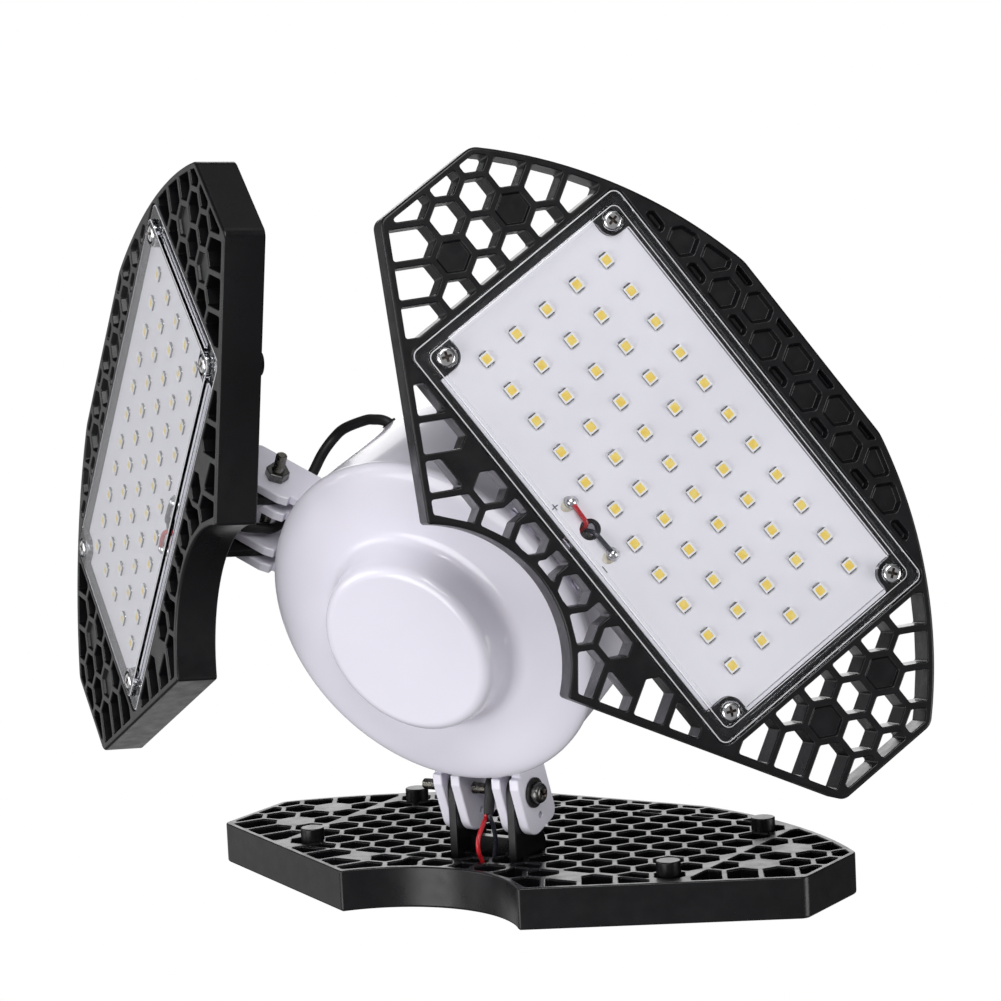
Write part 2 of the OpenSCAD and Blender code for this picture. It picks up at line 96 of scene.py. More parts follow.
def wing_at(w):
    flip = np.array([[0, -1, 0, 0], [-1, 0, 0, 0], [0, 0, -1, 0], [0, 0, 0, 1.0]])
    return tr(0, 0, HINGE_Z) @ rot("Z", AZ[w]) @ tr(HINGE_R, 0, 0) @ rot("Y", -FOLD[w]) @ flip @ tr(0, -AH, -ZH)


# ------------------------------------------------------------------ mesh building
BAD = []


class Build:
    """Vertices in millimetres, and faces with a normal at each corner (None: flat) and a material number."""

    def __init__(self):
        self.v, self.f, self.n, self.m = [], [], [], []
        self.T = np.eye(4)

    def pts(self, P):
        P = np.asarray(P, float)
        Q = P @ self.T[:3, :3].T + self.T[:3, 3]
        b = len(self.v)
        self.v.extend(Q.tolist())
        return np.arange(b, b + len(Q))

    def dirs(self, N):
        N = np.asarray(N, float) @ self.T[:3, :3].T
        return N / np.maximum(np.linalg.norm(N, axis=1, keepdims=True), 1e-12)

    def face(self, idx, nrm=None, mat=0):
        self.f.append([int(i) for i in idx])
        self.n.append(nrm)
        self.m.append(mat)

    def loft(self, A, B, NA, NB, mat=0, closed=True):
        """Quads between rings A and B, turned so that they face along their normals."""
        n = len(A)
        V = np.array(self.v[min(A.min(), B.min()):max(A.max(), B.max()) + 1])
        o = min(A.min(), B.min())
        k = np.arange(n if closed else n - 1)
        j = (k + 1) % n
        quads = np.stack([A[k], A[j], B[j], B[k]], 1)
        nr = np.stack([NA[k], NA[j], NB[j], NB[k]], 1)
        p = V[quads - o]
        fn = np.cross(p[:, 2] - p[:, 0], p[:, 3] - p[:, 1])
        if (fn * nr.mean(1)).sum() < 0:
            quads, nr = quads[:, ::-1], nr[:, ::-1]
        self.f.extend(quads.tolist())
        self.n.extend(nr.tolist())
        self.m.extend([mat] * len(quads))

    def cap(self, loops, up, mat=0):
        """A flat face with holes: loops are (indices, points in the plane); the first one is outside."""
        idx = np.concatenate([l[0] for l in loops])
        xy = np.concatenate([l[1] for l in loops])
        edges, s = [], 0
        for l in loops:
            n = len(l[0])
            edges += [(s + i, s + (i + 1) % n) for i in range(n)]
            s += n
        out = delaunay_2d_cdt([Vector(p) for p in xy], edges, [], 0, 1e-7)
        vs, fs, orig = np.array([tuple(v) for v in out[0]]), out[2], out[3]
        back = [idx[o[0]] if len(o) else None for o in orig]
        want = self.dirs([[0, 0, up]])[0]
        # keep the triangles inside by the even-odd rule
        E = np.array(edges)
        a, b = xy[E[:, 0]], xy[E[:, 1]]
        for f in fs:
            c = vs[list(f)].mean(0)
            hit = ((a[:, 1] > c[1]) != (b[:, 1] > c[1]))
            x = a[hit, 0] + (c[1] - a[hit, 1]) * (b[hit, 0] - a[hit, 0]) / (b[hit, 1] - a[hit, 1])
            if (x > c[0]).sum() % 2 == 0:
                continue
            if any(back[i] is None for i in f):
                BAD.append(tuple(c))
                continue
            ids = [back[i] for i in f]
            p, q, r = (np.array(self.v[i]) for i in ids[:3])
            if np.cross(q - p, r - p) @ want < 0:
                ids = ids[::-1]
            self.face(ids, [want] * len(ids), mat)

    def close(self):
        """Fills the thin slits left where a cap's edge has extra points on it."""
        seen = {}
        for f in self.f:
            for u, v in zip(f, list(f[1:]) + [f[0]]):
                seen.setdefault((min(u, v), max(u, v)), []).append((u, v))
        after = {e[0][1]: e[0][0] for e in seen.values() if len(e) == 1}
        while after:
            start = max(after)
            ring, u = [start], after.pop(start)
            while u != start and u in after:
                ring.append(u)
                u = after.pop(u)
            if u == start and len(ring) > 2:
                self.face(ring)

    def disc(self, ring, up, mat=0):
        want = self.dirs([[0, 0, up]])[0]
        a, b, c = (np.array(self.v[ring[i]]) for i in (0, len(ring) // 3, 2 * len(ring) // 3))
        ids = list(ring) if np.cross(b - a, c - a) @ want > 0 else list(ring)[::-1]
        self.face(ids, [want] * len(ids), mat)

    def object(self, name, mats, matrix=None, smooth=True):
        me = bpy.data.meshes.new(name)
        me.from_pydata((np.array(self.v) * 0.001).tolist(), [], self.f)
        for m in mats:
            me.materials.append(m)
        me.polygons.foreach_set("material_index", self.m)
        me.polygons.foreach_set("use_smooth", [smooth] * len(self.f))
        me.update()
        if smooth:
            loops = []
            for f, n in zip(self.f, self.n):
                if n is None:
                    p = [np.array(self.v[i]) for i in f]
                    c = np.zeros(3)
                    for i in range(len(p)):
                        c += np.cross(p[i], p[(i + 1) % len(p)])
                    c /= max(np.linalg.norm(c), 1e-12)
                    loops.extend([c.tolist()] * len(f))
                else:
                    loops.extend([tuple(x) for x in n])
            me.normals_split_custom_set(loops)
        ob = bpy.data.objects.new(name, me)
        scene.collection.objects.link(ob)
        if matrix is not None:
            M = np.array(matrix, float).copy()
            M[:3, 3] *= 0.001
            ob.matrix_world = Matrix(M.tolist())
        return ob


def poly(corners, n=3):
    """Corner list (x, y, radius) in counter-clockwise order, as points and outward normals."""
    P, N = [], []
    C = [np.array(c[:2], float) for c in corners]
    k = len(C)
    for i, c in enumerate(corners):
        p, a, b = C[i], C[i - 1], C[(i + 1) % k]
        u, w = (a - p), (b - p)
        lu, lw = np.linalg.norm(u), np.linalg.norm(w)
        u, w = u / lu, w / lw
        na = np.array([-u[1], u[0]])      # outward normal of the edge a-p (travelling a to p)
        nb = np.array([w[1], -w[0]])
        cosf = float(np.clip(u @ w, -1, 1))
        half = math.acos(cosf) / 2
        r = c[2]
        m = c[3] if len(c) > 3 else n
        if r <= 0 or half > math.pi / 2 - 0.002:
            nn = na + nb
            P.append(p); N.append(nn / np.linalg.norm(nn))
            continue
        t = min(r / math.tan(half), 0.46 * lu, 0.46 * lw)
        r = t * math.tan(half)
        bis = (u + w) / np.linalg.norm(u + w)
        ctr = p + bis * (r / math.sin(half))
        cross = u[0] * w[1] - u[1] * w[0]      # below 0: a convex corner
        for j in range(m + 1):
            f = j / m
            ang = f * math.acos(float(np.clip(na @ nb, -1, 1)))
            tot = math.acos(float(np.clip(na @ nb, -1, 1)))
            if tot < 1e-6:
                d = na
            else:
                d = (math.sin(tot - ang) * na + math.sin(ang) * nb) / math.sin(tot)
            d = d / np.linalg.norm(d)
            P.append(ctr + d * r if cross < 0 else ctr - d * r)
            N.append(d)
    return np.array(P), np.array(N)


def circ(x, y, r, n=32):
    t = np.arange(n) * 2 * math.pi / n
    d = np.c_[np.cos(t), np.sin(t)]
    return np.array([x, y]) + r * d, d


def hole_of(loop):
    """A loop's points with normals that point into the hole, away from the material."""
    return loop[0], -loop[1]


def rrect(x0, y0, x1, y1, r, n=4):
    return poly([(x1, y0, r, n), (x1, y1, r, n), (x0, y1, r, n), (x0, y0, r, n)])


def edge(z1, z0, e1, e0, n=2, draft=0.0):
    """Profile (offset, z, normal across, normal up) from the top edge z1 down to z0, both rounded."""
    out = []
    for i in range(n + 1):
        if e1 <= 0 and i:
            break
        t = math.pi / 2 * i / n
        out.append((-e1 * (1 - math.sin(t)), z1 - e1 * (1 - math.cos(t)), math.sin(t), math.cos(t)))
    if e1 <= 0:
        out = [(0, z1, 1, 0)]
    low = []
    for i in range(n + 1):
        t = math.pi / 2 * i / n
        if e0 > 0:
            low.append((-e0 * (1 - math.cos(t)), z0 + e0 * (1 - math.sin(t)), math.cos(t), -math.sin(t)))
    if e0 <= 0:
        low = [(0, z0, 1, 0)]
    low = [(o - draft, z, a, b) for o, z, a, b in low]
    return out + low


def wall(B, loop, prof, mat=0, mats=None):
    """Lofts a loop along a profile. Returns (indices, plane points) of the first and last ring."""
    P, N = loop
    rings = []
    for o, z, a, b in prof:
        xy = P + N * o
        idx = B.pts(np.c_[xy, np.full(len(xy), z)])
        nr = B.dirs(np.c_[N * a, np.full(len(xy), b)])
        rings.append((idx, xy, nr))
    for q, (r0, r1) in enumerate(zip(rings, rings[1:])):
        B.loft(r0[0], r1[0], r0[2], r1[2], mat if mats is None else mats[q])
    return (rings[0][0], rings[0][1]), (rings[-1][0], rings[-1][1])


def plate(B, outer, holes, z1, z0, e1, e0, he1=None, he0=None, mat=0, n=2):
    """A flat plate with rounded edges and holes that go right through."""
    tops, bots = [], []
    t, b = wall(B, outer, edge(z1, z0, e1, e0, n), mat)
    tops.append(t); bots.append(b)
    for h in holes:
        t, b = wall(B, hole_of(h), edge(z1, z0, e1 if he1 is None else he1, e0 if he0 is None else he0, n), mat)
        tops.append(t); bots.append(b)
    B.cap(tops, 1, mat)
    B.cap(bots, -1, mat)


def curve_normals(R, flip=False):
    """Normals of a profile line in its plane, a smooth one at each point."""
    R = np.asarray(R, float)
    d = np.gradient(R, axis=0)
    nrm = np.c_[d[:, 1], -d[:, 0]]
    nrm /= np.maximum(np.linalg.norm(nrm, axis=1, keepdims=True), 1e-12)
    return -nrm if flip else nrm


def lathe(B, prof, n=96, mat=0, normals=None, closed=False, mats=None):
    """Turns (r, z) points round the z axis. A point with r = 0 closes the form."""
    prof = np.asarray(prof, float)
    N = curve_normals(prof) if normals is None else np.asarray(normals, float)
    t = np.arange(n) * 2 * math.pi / n
    c, s = np.cos(t), np.sin(t)
    rings = []
    for (r, z), (nr, nz) in zip(prof, N):
        if r < 1e-6:
            rings.append((B.pts([[0, 0, z]]), B.dirs([[0, 0, 1 if nz > 0 else -1]])))
        else:
            rings.append((B.pts(np.c_[r * c, r * s, np.full(n, z)]), B.dirs(np.c_[nr * c, nr * s, np.full(n, nz)])))
    seq = list(zip(rings, rings[1:])) + ([(rings[-1], rings[0])] if closed else [])
    for q, (a, b) in enumerate(seq):
        mm = mat if mats is None else mats[q]
        if len(a[0]) == 1 or len(b[0]) == 1:
            one, ring = (a, b) if len(a[0]) == 1 else (b, a)
            for k in range(n):
                j = (k + 1) % n
                ids = [one[0][0], ring[0][k], ring[0][j]]
                p = [np.array(B.v[i]) for i in ids]
                nr = [one[1][0], ring[1][k], ring[1][j]]
                if np.cross(p[1] - p[0], p[2] - p[0]) @ (nr[0] + nr[1]) < 0:
                    ids, nr = ids[::-1], nr[::-1]
                B.face(ids, nr, mm)
        else:
            B.loft(a[0], b[0], a[1], b[1], mm)


def cr(P, n):
    """Smooth line through points, n steps a span."""
    P = [np.array(p, float) for p in P]
    q = [2 * P[0] - P[1]] + P + [2 * P[-1] - P[-2]]
    out = []
    for i in range(1, len(q) - 2):
        a, b, c, d = q[i - 1], q[i], q[i + 1], q[i + 2]
        for j in range(n):
            t = j / n
            out.append(0.5 * (2 * b + (c - a) * t + (2 * a - 5 * b + 4 * c - d) * t * t + (3 * b - a - 3 * c + d) * t ** 3))
    out.append(P[-1])
    return np.array(out)


def tube(B, P, r, sides=16, mat=0, radii=None, ends=True):
    """A round tube along a line, with rounded ends."""
    P = np.asarray(P, float)
    T = np.gradient(P, axis=0)
    T /= np.linalg.norm(T, axis=1, keepdims=True)
    up = np.array([0.13, 0.21, 0.97])
    rings = []
    n = len(P)
    R = np.full(n, r) if radii is None else np.asarray(radii, float)
    a = np.arange(sides) * 2 * math.pi / sides
    ups = []
    for i in range(n):
        w = up - (up @ T[i]) * T[i]
        w /= np.linalg.norm(w)
        up = w
        ups.append(w)
    seq = [(P[i], T[i], ups[i], R[i], 0.0) for i in range(n)]
    if ends:
        k = 3
        s = [(P[0] - T[0] * R[0] * 0.45 * math.sin(math.pi / 2 * (1 - j / k)), T[0], ups[0], R[0] * math.cos(math.pi / 2 * (1 - j / k)) + R[0] * 0.0, -math.sin(math.pi / 2 * (1 - j / k))) for j in range(1, k)]
        e = [(P[-1] + T[-1] * R[-1] * 0.45 * math.sin(math.pi / 2 * j / k), T[-1], ups[-1], R[-1] * math.cos(math.pi / 2 * j / k), math.sin(math.pi / 2 * j / k)) for j in range(1, k)]
        seq = s + seq + e
    for p, t, u, rr, tilt in seq:
        v = np.cross(t, u)
        d = np.cos(a)[:, None] * u + np.sin(a)[:, None] * v
        idx = B.pts(p + rr * d)
        nn = B.dirs(d * math.sqrt(max(0, 1 - tilt * tilt)) + t * tilt)
        rings.append((idx, nn))
    for r0, r1 in zip(rings, rings[1:]):
        B.loft(r0[0], r1[0], r0[1], r1[1], mat)
    for ring, t in ((rings[0][0], -seq[0][1]), (rings[-1][0], seq[-1][1])):
        ids = list(ring)
        p = [np.array(B.v[i]) for i in (ids[0], ids[len(ids) // 3], ids[2 * len(ids) // 3])]
        t = B.dirs([t])[0]
        if np.cross(p[1] - p[0], p[2] - p[0]) @ t < 0:
            ids = ids[::-1]
        B.face(ids, [t] * len(ids), mat)


# ------------------------------------------------------------------ materials
def new_mat(name):
    m = bpy.data.materials.new(name)
    m.use_nodes = True
    nt = m.node_tree
    nt.nodes.clear()
    out = nt.nodes.new("ShaderNodeOutputMaterial")
    return m, nt, out


def noise(nt, coord, scale, detail=3.0, rough=0.55, dist=0.0):
    n = nt.nodes.new("ShaderNodeTexNoise")
    n.inputs["Scale"].default_value = scale
    n.inputs["Detail"].default_value = detail
    n.inputs["Roughness"].default_value = rough
    n.inputs["Distortion"].default_value = dist
    nt.links.new(coord, n.inputs["Vector"])
    return n.outputs["Fac"]


def ramp(nt, fac, lo, hi, a=0.35, b=0.65):
    """Maps a noise between a and b to lo and hi, numbers or colours."""
    r = nt.nodes.new("ShaderNodeValToRGB")
    col = lambda x: (x, x, x, 1) if isinstance(x, (int, float)) else (*x, 1)
    r.color_ramp.elements[0].position, r.color_ramp.elements[1].position = a, b
    r.color_ramp.elements[0].color, r.color_ramp.elements[1].color = col(lo), col(hi)
    nt.links.new(fac, r.inputs["Fac"])
    return r.outputs["Color"]


def bump(nt, height, strength, distance):
    b = nt.nodes.new("ShaderNodeBump")
    b.inputs["Strength"].default_value = strength
    b.inputs["Distance"].default_value = distance
    nt.links.new(height, b.inputs["Height"])
    return b.outputs["Normal"]


def surface(name, lo, hi, scale, r_lo, r_hi, r_scale, metallic=0.0, spec=0.5, coat=0.0, coat_r=0.1,
            bumps=(), sss=0.0, mottle=(0.35, 0.65)):
    """Principled material whose colour and roughness vary over the surface, with fine relief.
    bumps: (scale, strength, distance in metres)."""
    m, nt, out = new_mat(name)
    tc = nt.nodes.new("ShaderNodeTexCoord")
    co = tc.outputs["Object"]
    p = nt.nodes.new("ShaderNodeBsdfPrincipled")
    nt.links.new(ramp(nt, noise(nt, co, scale, 4), lo, hi, *mottle), p.inputs["Base Color"])
    nt.links.new(ramp(nt, noise(nt, co, r_scale, 3), r_lo, r_hi), p.inputs["Roughness"])
    p.inputs["Metallic"].default_value = metallic
    p.inputs["Specular IOR Level"].default_value = spec
    p.inputs["Coat Weight"].default_value = coat
    p.inputs["Coat Roughness"].default_value = coat_r
    if sss:
        p.inputs["Subsurface Weight"].default_value = sss
        p.inputs["Subsurface Radius"].default_value = (0.002, 0.002, 0.0022)
        p.inputs["Subsurface Scale"].default_value = 0.5
    last = None
    for s, k, d in bumps:
        b = nt.nodes.new("ShaderNodeBump")
        b.inputs["Strength"].default_value = k
        b.inputs["Distance"].default_value = d
        nt.links.new(noise(nt, co, s, 2), b.inputs["Height"])
        if last is not None:
            nt.links.new(last, b.inputs["Normal"])
        last = b.outputs["Normal"]
    if last is not None:
        nt.links.new(last, p.inputs["Normal"])
    nt.links.new(p.outputs["BSDF"], out.inputs["Surface"])
    return m


def clear(name, tint, rough, ior=1.49, refract=True):
    """Clear cover: glass for sight, and open for the rays that light what is behind it."""
    m, nt, out = new_mat(name)
    g = nt.nodes.new("ShaderNodeBsdfGlass")
    g.inputs["Color"].default_value = (*tint, 1)
    g.inputs["IOR"].default_value = ior
    tc = nt.nodes.new("ShaderNodeTexCoord")
    n = noise(nt, tc.outputs["Object"], 60, 3)
    nt.links.new(ramp(nt, n, rough, rough * 2.2 + 0.004), g.inputs["Roughness"])
    nt.links.new(bump(nt, noise(nt, tc.outputs["Object"], 90, 1), 0.25, 0.00004), g.inputs["Normal"])
    t = nt.nodes.new("ShaderNodeBsdfTransparent")
    t.inputs["Color"].default_value = (0.99, 0.99, 1.0, 1)
    lp = nt.nodes.new("ShaderNodeLightPath")
    mix = nt.nodes.new("ShaderNodeMixShader")
    nt.links.new(lp.outputs["Is Shadow Ray"], mix.inputs["Fac"])
    nt.links.new(g.outputs["BSDF"], mix.inputs[1])
    nt.links.new(t.outputs["BSDF"], mix.inputs[2])
    nt.links.new(mix.outputs["Shader"], out.inputs["Surface"])
    return m


BLACK = surface("satin_black_moulding", (0.0030, 0.0029, 0.0036), (0.0048, 0.0046, 0.0056), 55, 0.27, 0.36, 240, spec=0.36,
                bumps=((2600, 0.3, 0.00003), (420, 0.15, 0.00005)))
WHITE = surface("white_gloss_moulding", (0.83, 0.81, 0.90), (0.87, 0.85, 0.94), 18, 0.16, 0.24, 60, spec=0.5, coat=0.35, coat_r=0.06,
                bumps=((140, 0.05, 0.00006), (1800, 0.08, 0.00001)), sss=0.0)
WHITE_IN = surface("white_moulding_inside", (0.72, 0.71, 0.77), (0.78, 0.77, 0.82), 30, 0.35, 0.5, 90, bumps=((900, 0.2, 0.00002),))
BOARD = surface("white_board", (0.88, 0.87, 0.92), (0.93, 0.92, 0.97), 26, 0.30, 0.42, 160, spec=0.4,
                bumps=((1500, 0.25, 0.00001), (60, 0.1, 0.00008)))
BOARD_EDGE = surface("board_edge", (0.32, 0.32, 0.34), (0.42, 0.42, 0.43), 200, 0.4, 0.6, 300, metallic=0.6, bumps=((1500, 0.3, 0.00002),))
PACK = surface("chip_package_white", (0.92, 0.92, 0.92), (0.97, 0.97, 0.97), 300, 0.35, 0.5, 400, bumps=((3000, 0.2, 0.000008),))
# dark package sides: painted shade along the packages' lower sides and under them, partly the dark lead frame
PACK_SHADE_SIDE = surface("chip_package_side_painted_shade", (0.045, 0.04, 0.04), (0.11, 0.10, 0.10), 500, 0.4, 0.6, 500, bumps=((3000, 0.3, 0.00001),))
PHOS = surface("chip_phosphor", (0.94, 0.66, 0.10), (0.98, 0.78, 0.22), 700, 0.3, 0.45, 500, spec=0.4, bumps=((5000, 0.5, 0.00001),))
SOLDER = surface("solder", (0.42, 0.42, 0.43), (0.72, 0.72, 0.73), 900, 0.10, 0.28, 700, metallic=1.0, bumps=((900, 0.5, 0.00006),))
FLUX = surface("tinned_pad", (0.55, 0.50, 0.38), (0.70, 0.66, 0.55), 500, 0.22, 0.4, 500, metallic=0.25, bumps=((1200, 0.4, 0.00003),))
# printed polarity marks, and also the board's wire hole wall, where this dark ink is painted shade inside the hole
INK_AND_HOLE_SHADE = surface("mark_ink_and_hole_painted_shade", (0.03, 0.03, 0.035), (0.06, 0.06, 0.065), 900, 0.5, 0.7, 900, bumps=((3000, 0.2, 0.000005),))
CHROME = surface("bright_plate", (0.84, 0.84, 0.84), (0.93, 0.93, 0.93), 300, 0.10, 0.22, 500, metallic=1.0, bumps=((900, 0.15, 0.00001),))
# darker metal for the screws' cross recesses: painted shade inside the recess
CHROME_RECESS_SHADE = surface("bright_plate_recess_painted_shade", (0.10, 0.085, 0.075), (0.22, 0.19, 0.17), 900, 0.2, 0.4, 500, metallic=1.0, bumps=((2500, 0.4, 0.00001),))
DARK = surface("dark_zinc", (0.10, 0.10, 0.098), (0.22, 0.22, 0.21), 260, 0.22, 0.38, 400, metallic=1.0, bumps=((1200, 0.3, 0.00001),))
BRASSY = surface("thread_passivate", (0.20, 0.195, 0.17), (0.36, 0.35, 0.31), 500, 0.2, 0.35, 600, metallic=1.0, bumps=((1500, 0.3, 0.00001),))
RUBBER = surface("black_sleeve", (0.010, 0.010, 0.011), (0.018, 0.018, 0.019), 120, 0.42, 0.55, 200, spec=0.35, bumps=((1800, 0.3, 0.00002),))
WASHER = surface("black_washer", (0.008, 0.008, 0.009), (0.016, 0.016, 0.017), 300, 0.3, 0.45, 400, spec=0.4, bumps=((1500, 0.3, 0.00001),))
RED = surface("red_insulation", (0.42, 0.008, 0.016), (0.56, 0.018, 0.026), 150, 0.22, 0.34, 200, spec=0.5, bumps=((700, 0.2, 0.00003),))
BLACKW = surface("black_insulation", (0.012, 0.013, 0.02), (0.022, 0.023, 0.035), 150, 0.24, 0.36, 200, spec=0.5, bumps=((700, 0.2, 0.00003),))
BASE = surface("rolled_shell", (0.62, 0.62, 0.63), (0.74, 0.74, 0.75), 120, 0.18, 0.32, 200, metallic=1.0, bumps=((500, 0.25, 0.00002),))
GLAZE = surface("black_glaze", (0.006, 0.006, 0.007), (0.012, 0.012, 0.013), 90, 0.06, 0.14, 120, spec=0.6, bumps=((220, 0.15, 0.00006),))
GREEN = surface("board_mask_green", (0.012, 0.075, 0.035), (0.02, 0.11, 0.05), 90, 0.3, 0.45, 200, bumps=((700, 0.2, 0.00002),))
SLEEVE = surface("capacitor_sleeve", (0.02, 0.02, 0.07), (0.035, 0.035, 0.10), 120, 0.22, 0.34, 200, bumps=((300, 0.2, 0.00003),))
TAPE = surface("winding_tape", (0.55, 0.42, 0.06), (0.70, 0.55, 0.12), 120, 0.25, 0.4, 200, bumps=((260, 0.5, 0.00006),))
CHIPB = surface("chip_moulding", (0.012, 0.012, 0.012), (0.022, 0.022, 0.022), 300, 0.45, 0.6, 300, bumps=((2500, 0.4, 0.00001),))
RESIN = surface("red_resin", (0.42, 0.06, 0.02), (0.55, 0.09, 0.03), 120, 0.18, 0.3, 200, bumps=((160, 0.3, 0.00008),))
CLEAR = clear("clear_cover", (0.985, 0.987, 0.995), 0.0)
CLEAR_EDGE = clear("clear_cover_edge", (0.97, 0.975, 0.985), 0.02)
# the cover's rounded top edges: glass mixed 55% with white diffuse, a painted highlight standing in for the bright
# reflection along the edges
CLEAR_HIGHLIGHT_EDGE = clear("clear_cover_edge_painted_highlight", (0.99, 0.99, 1.0), 0.05)
_nt = CLEAR_HIGHLIGHT_EDGE.node_tree
_out = [n for n in _nt.nodes if n.type == "OUTPUT_MATERIAL"][0]
_last = _out.inputs["Surface"].links[0].from_socket
_dif = _nt.nodes.new("ShaderNodeBsdfDiffuse")
_tc = _nt.nodes.new("ShaderNodeTexCoord")
_nt.links.new(ramp(_nt, noise(_nt, _tc.outputs["Object"], 200, 2), (0.93, 0.93, 0.97), (0.99, 0.99, 1.0)), _dif.inputs["Color"])
_mix = _nt.nodes.new("ShaderNodeMixShader")
_mix.inputs["Fac"].default_value = 0.55
_nt.links.new(_last, _mix.inputs[1])
_nt.links.new(_dif.outputs["BSDF"], _mix.inputs[2])
_nt.links.new(_mix.outputs["Shader"], _out.inputs["Surface"])

# ------------------------------------------------------------------ the wing's outline and cells
def clip(P, n, c):
    n = np.asarray(n, float)
    out = []
    for i in range(len(P)):
        a, b = P[i], P[(i + 1) % len(P)]
        da, db = n @ a - c, n @ b - c
        if da <= 0:
            out.append(a)
        if (da < 0 < db) or (db < 0 < da):
            out.append(a + (b - a) * (da / (da - db)))
    return out


def area(P):
    return abs(sum(P[i][0] * P[(i + 1) % len(P)][1] - P[(i + 1) % len(P)][0] * P[i][1] for i in range(len(P)))) / 2


def ctr(k, m):
    return np.array([k * PITCH * math.sqrt(3) / 2, -17.4 + m * PITCH + (0 if abs(k) % 2 == 1 else PITCH / 2)])


def dang(a, b):
    return abs(((a - b + 540) % 360) - 180)


def cell(k, m, an=0, ln=0, r=CELL_R):
    d = np.array([math.cos(math.radians(an)), math.sin(math.radians(an))])
    return [ctr(k, m) + r * np.array([math.cos(math.radians(60 * i)), math.sin(math.radians(60 * i))])
            + (ln * d if ln > 0 and dang(60 * i, an) < 61 else 0) for i in range(6)]


def in_rim(P, c, rim=RIM_T):
    s = np.array([0, SCOOP_Y])
    u = (c - s) / np.linalg.norm(c - s)
    P = clip(P, u, u @ s + WING_R - rim)
    P = clip(P, [1, 0], WING_HALF - rim)
    P = clip(P, [-1, 0], WING_HALF - rim)
    P = clip(P, [SX, SY], SC - rim)
    P = clip(P, [-SX, SY], SC - rim)
    return clip(P, -u, -(u @ s + SCOOP_R + rim))


END_CELLS = [(8, 1, 300, 9), (9, 2, 300, 9), (10, 2, 300, 9), (11, 3, 0, 0), (11, 4, 0, 0), (11, 5, 60, 9), (10, 3, 0, 0),
             (10, 4, 0, 0), (10, 5, 60, 14), (9, 4, 0, 0), (9, 6, 60, 14), (8, 2, 0, 0), (8, 3, 0, 0), (8, 4, 0, 0),
             (8, 5, 0, 0), (8, 6, 60, 16)]
STRIP_IN = [(1, 8, 0, 0), (3, 8, 0, 0), (5, 8, 60, 14), (6, 7, 60, 14), (3, 9, 60, 12)]


def necked(k, m):
    """The hexagon with a straight neck down to the pocket of the board."""
    h = cell(k, m)
    return in_rim([h[0], h[1], h[2], h[3], h[4], np.array([h[4][0], BOX_Y1]), np.array([h[5][0], BOX_Y1]), h[5]], ctr(k, m))


def open_half():
    L = [clip(in_rim(cell(*e), ctr(e[0], e[1])), [-1, 0], -BOX_X) for e in END_CELLS]
    L += [clip(in_rim(cell(*e), ctr(e[0], e[1])), [0, -1], -BOX_Y1) for e in STRIP_IN]
    L += [clip(in_rim(cell(4, 8, 60, 14), ctr(4, 8)), [0, -1], -(ctr(4, 8)[1] + 0.8))]
    L += [necked(2, 8)]
    return L


def mir(P):
    return [np.array([-p[0], p[1]]) for p in P[::-1]]


OPEN = open_half()
OPEN = OPEN + [mir(c) for c in OPEN] + [necked(0, 8)]
OPEN = [c for c in OPEN if len(c) > 2 and area(c) > 1.5]
STRIP = [clip(clip(in_rim(cell(k, m), ctr(k, m)), [0, -1], -(FLAT_Y + RIM_T)), [0, 1], BOX_Y0) for k in range(-6, 7) for m in (-1, 0)]
STRIP = [c for c in STRIP if len(c) > 2 and area(c) > 1.5]
BLANK = [cell(9, 3), cell(9, 5)]
BLANK = BLANK + [mir(c) for c in BLANK]
BACK = [(k, m, clip(clip(clip(clip(cell(k, m), [1, 0], BOX_X - 1), [-1, 0], BOX_X - 1), [0, 1], BOX_Y1 - 1), [0, -1], -(BOX_Y0 + 1)))
        for k in range(-7, 8) for m in range(0, 8)]
BACK = [c for c in BACK if len(c[2]) > 2 and area(c[2]) > 1.5]


def tidy(P, least=0.25):
    """Drops corners that are closer together than least."""
    out = []
    for p in P:
        if not out or np.linalg.norm(p - out[-1]) > least:
            out.append(p)
    while len(out) > 3 and np.linalg.norm(out[0] - out[-1]) <= least:
        out.pop()
    return out


def soft_poly(P, r=0.55, n=3):
    P = tidy(P)
    a = sum(P[i][0] * P[(i + 1) % len(P)][1] - P[(i + 1) % len(P)][0] * P[i][1] for i in range(len(P)))
    if a < 0:
        P = P[::-1]
    return poly([(p[0], p[1], r, n) for p in P])


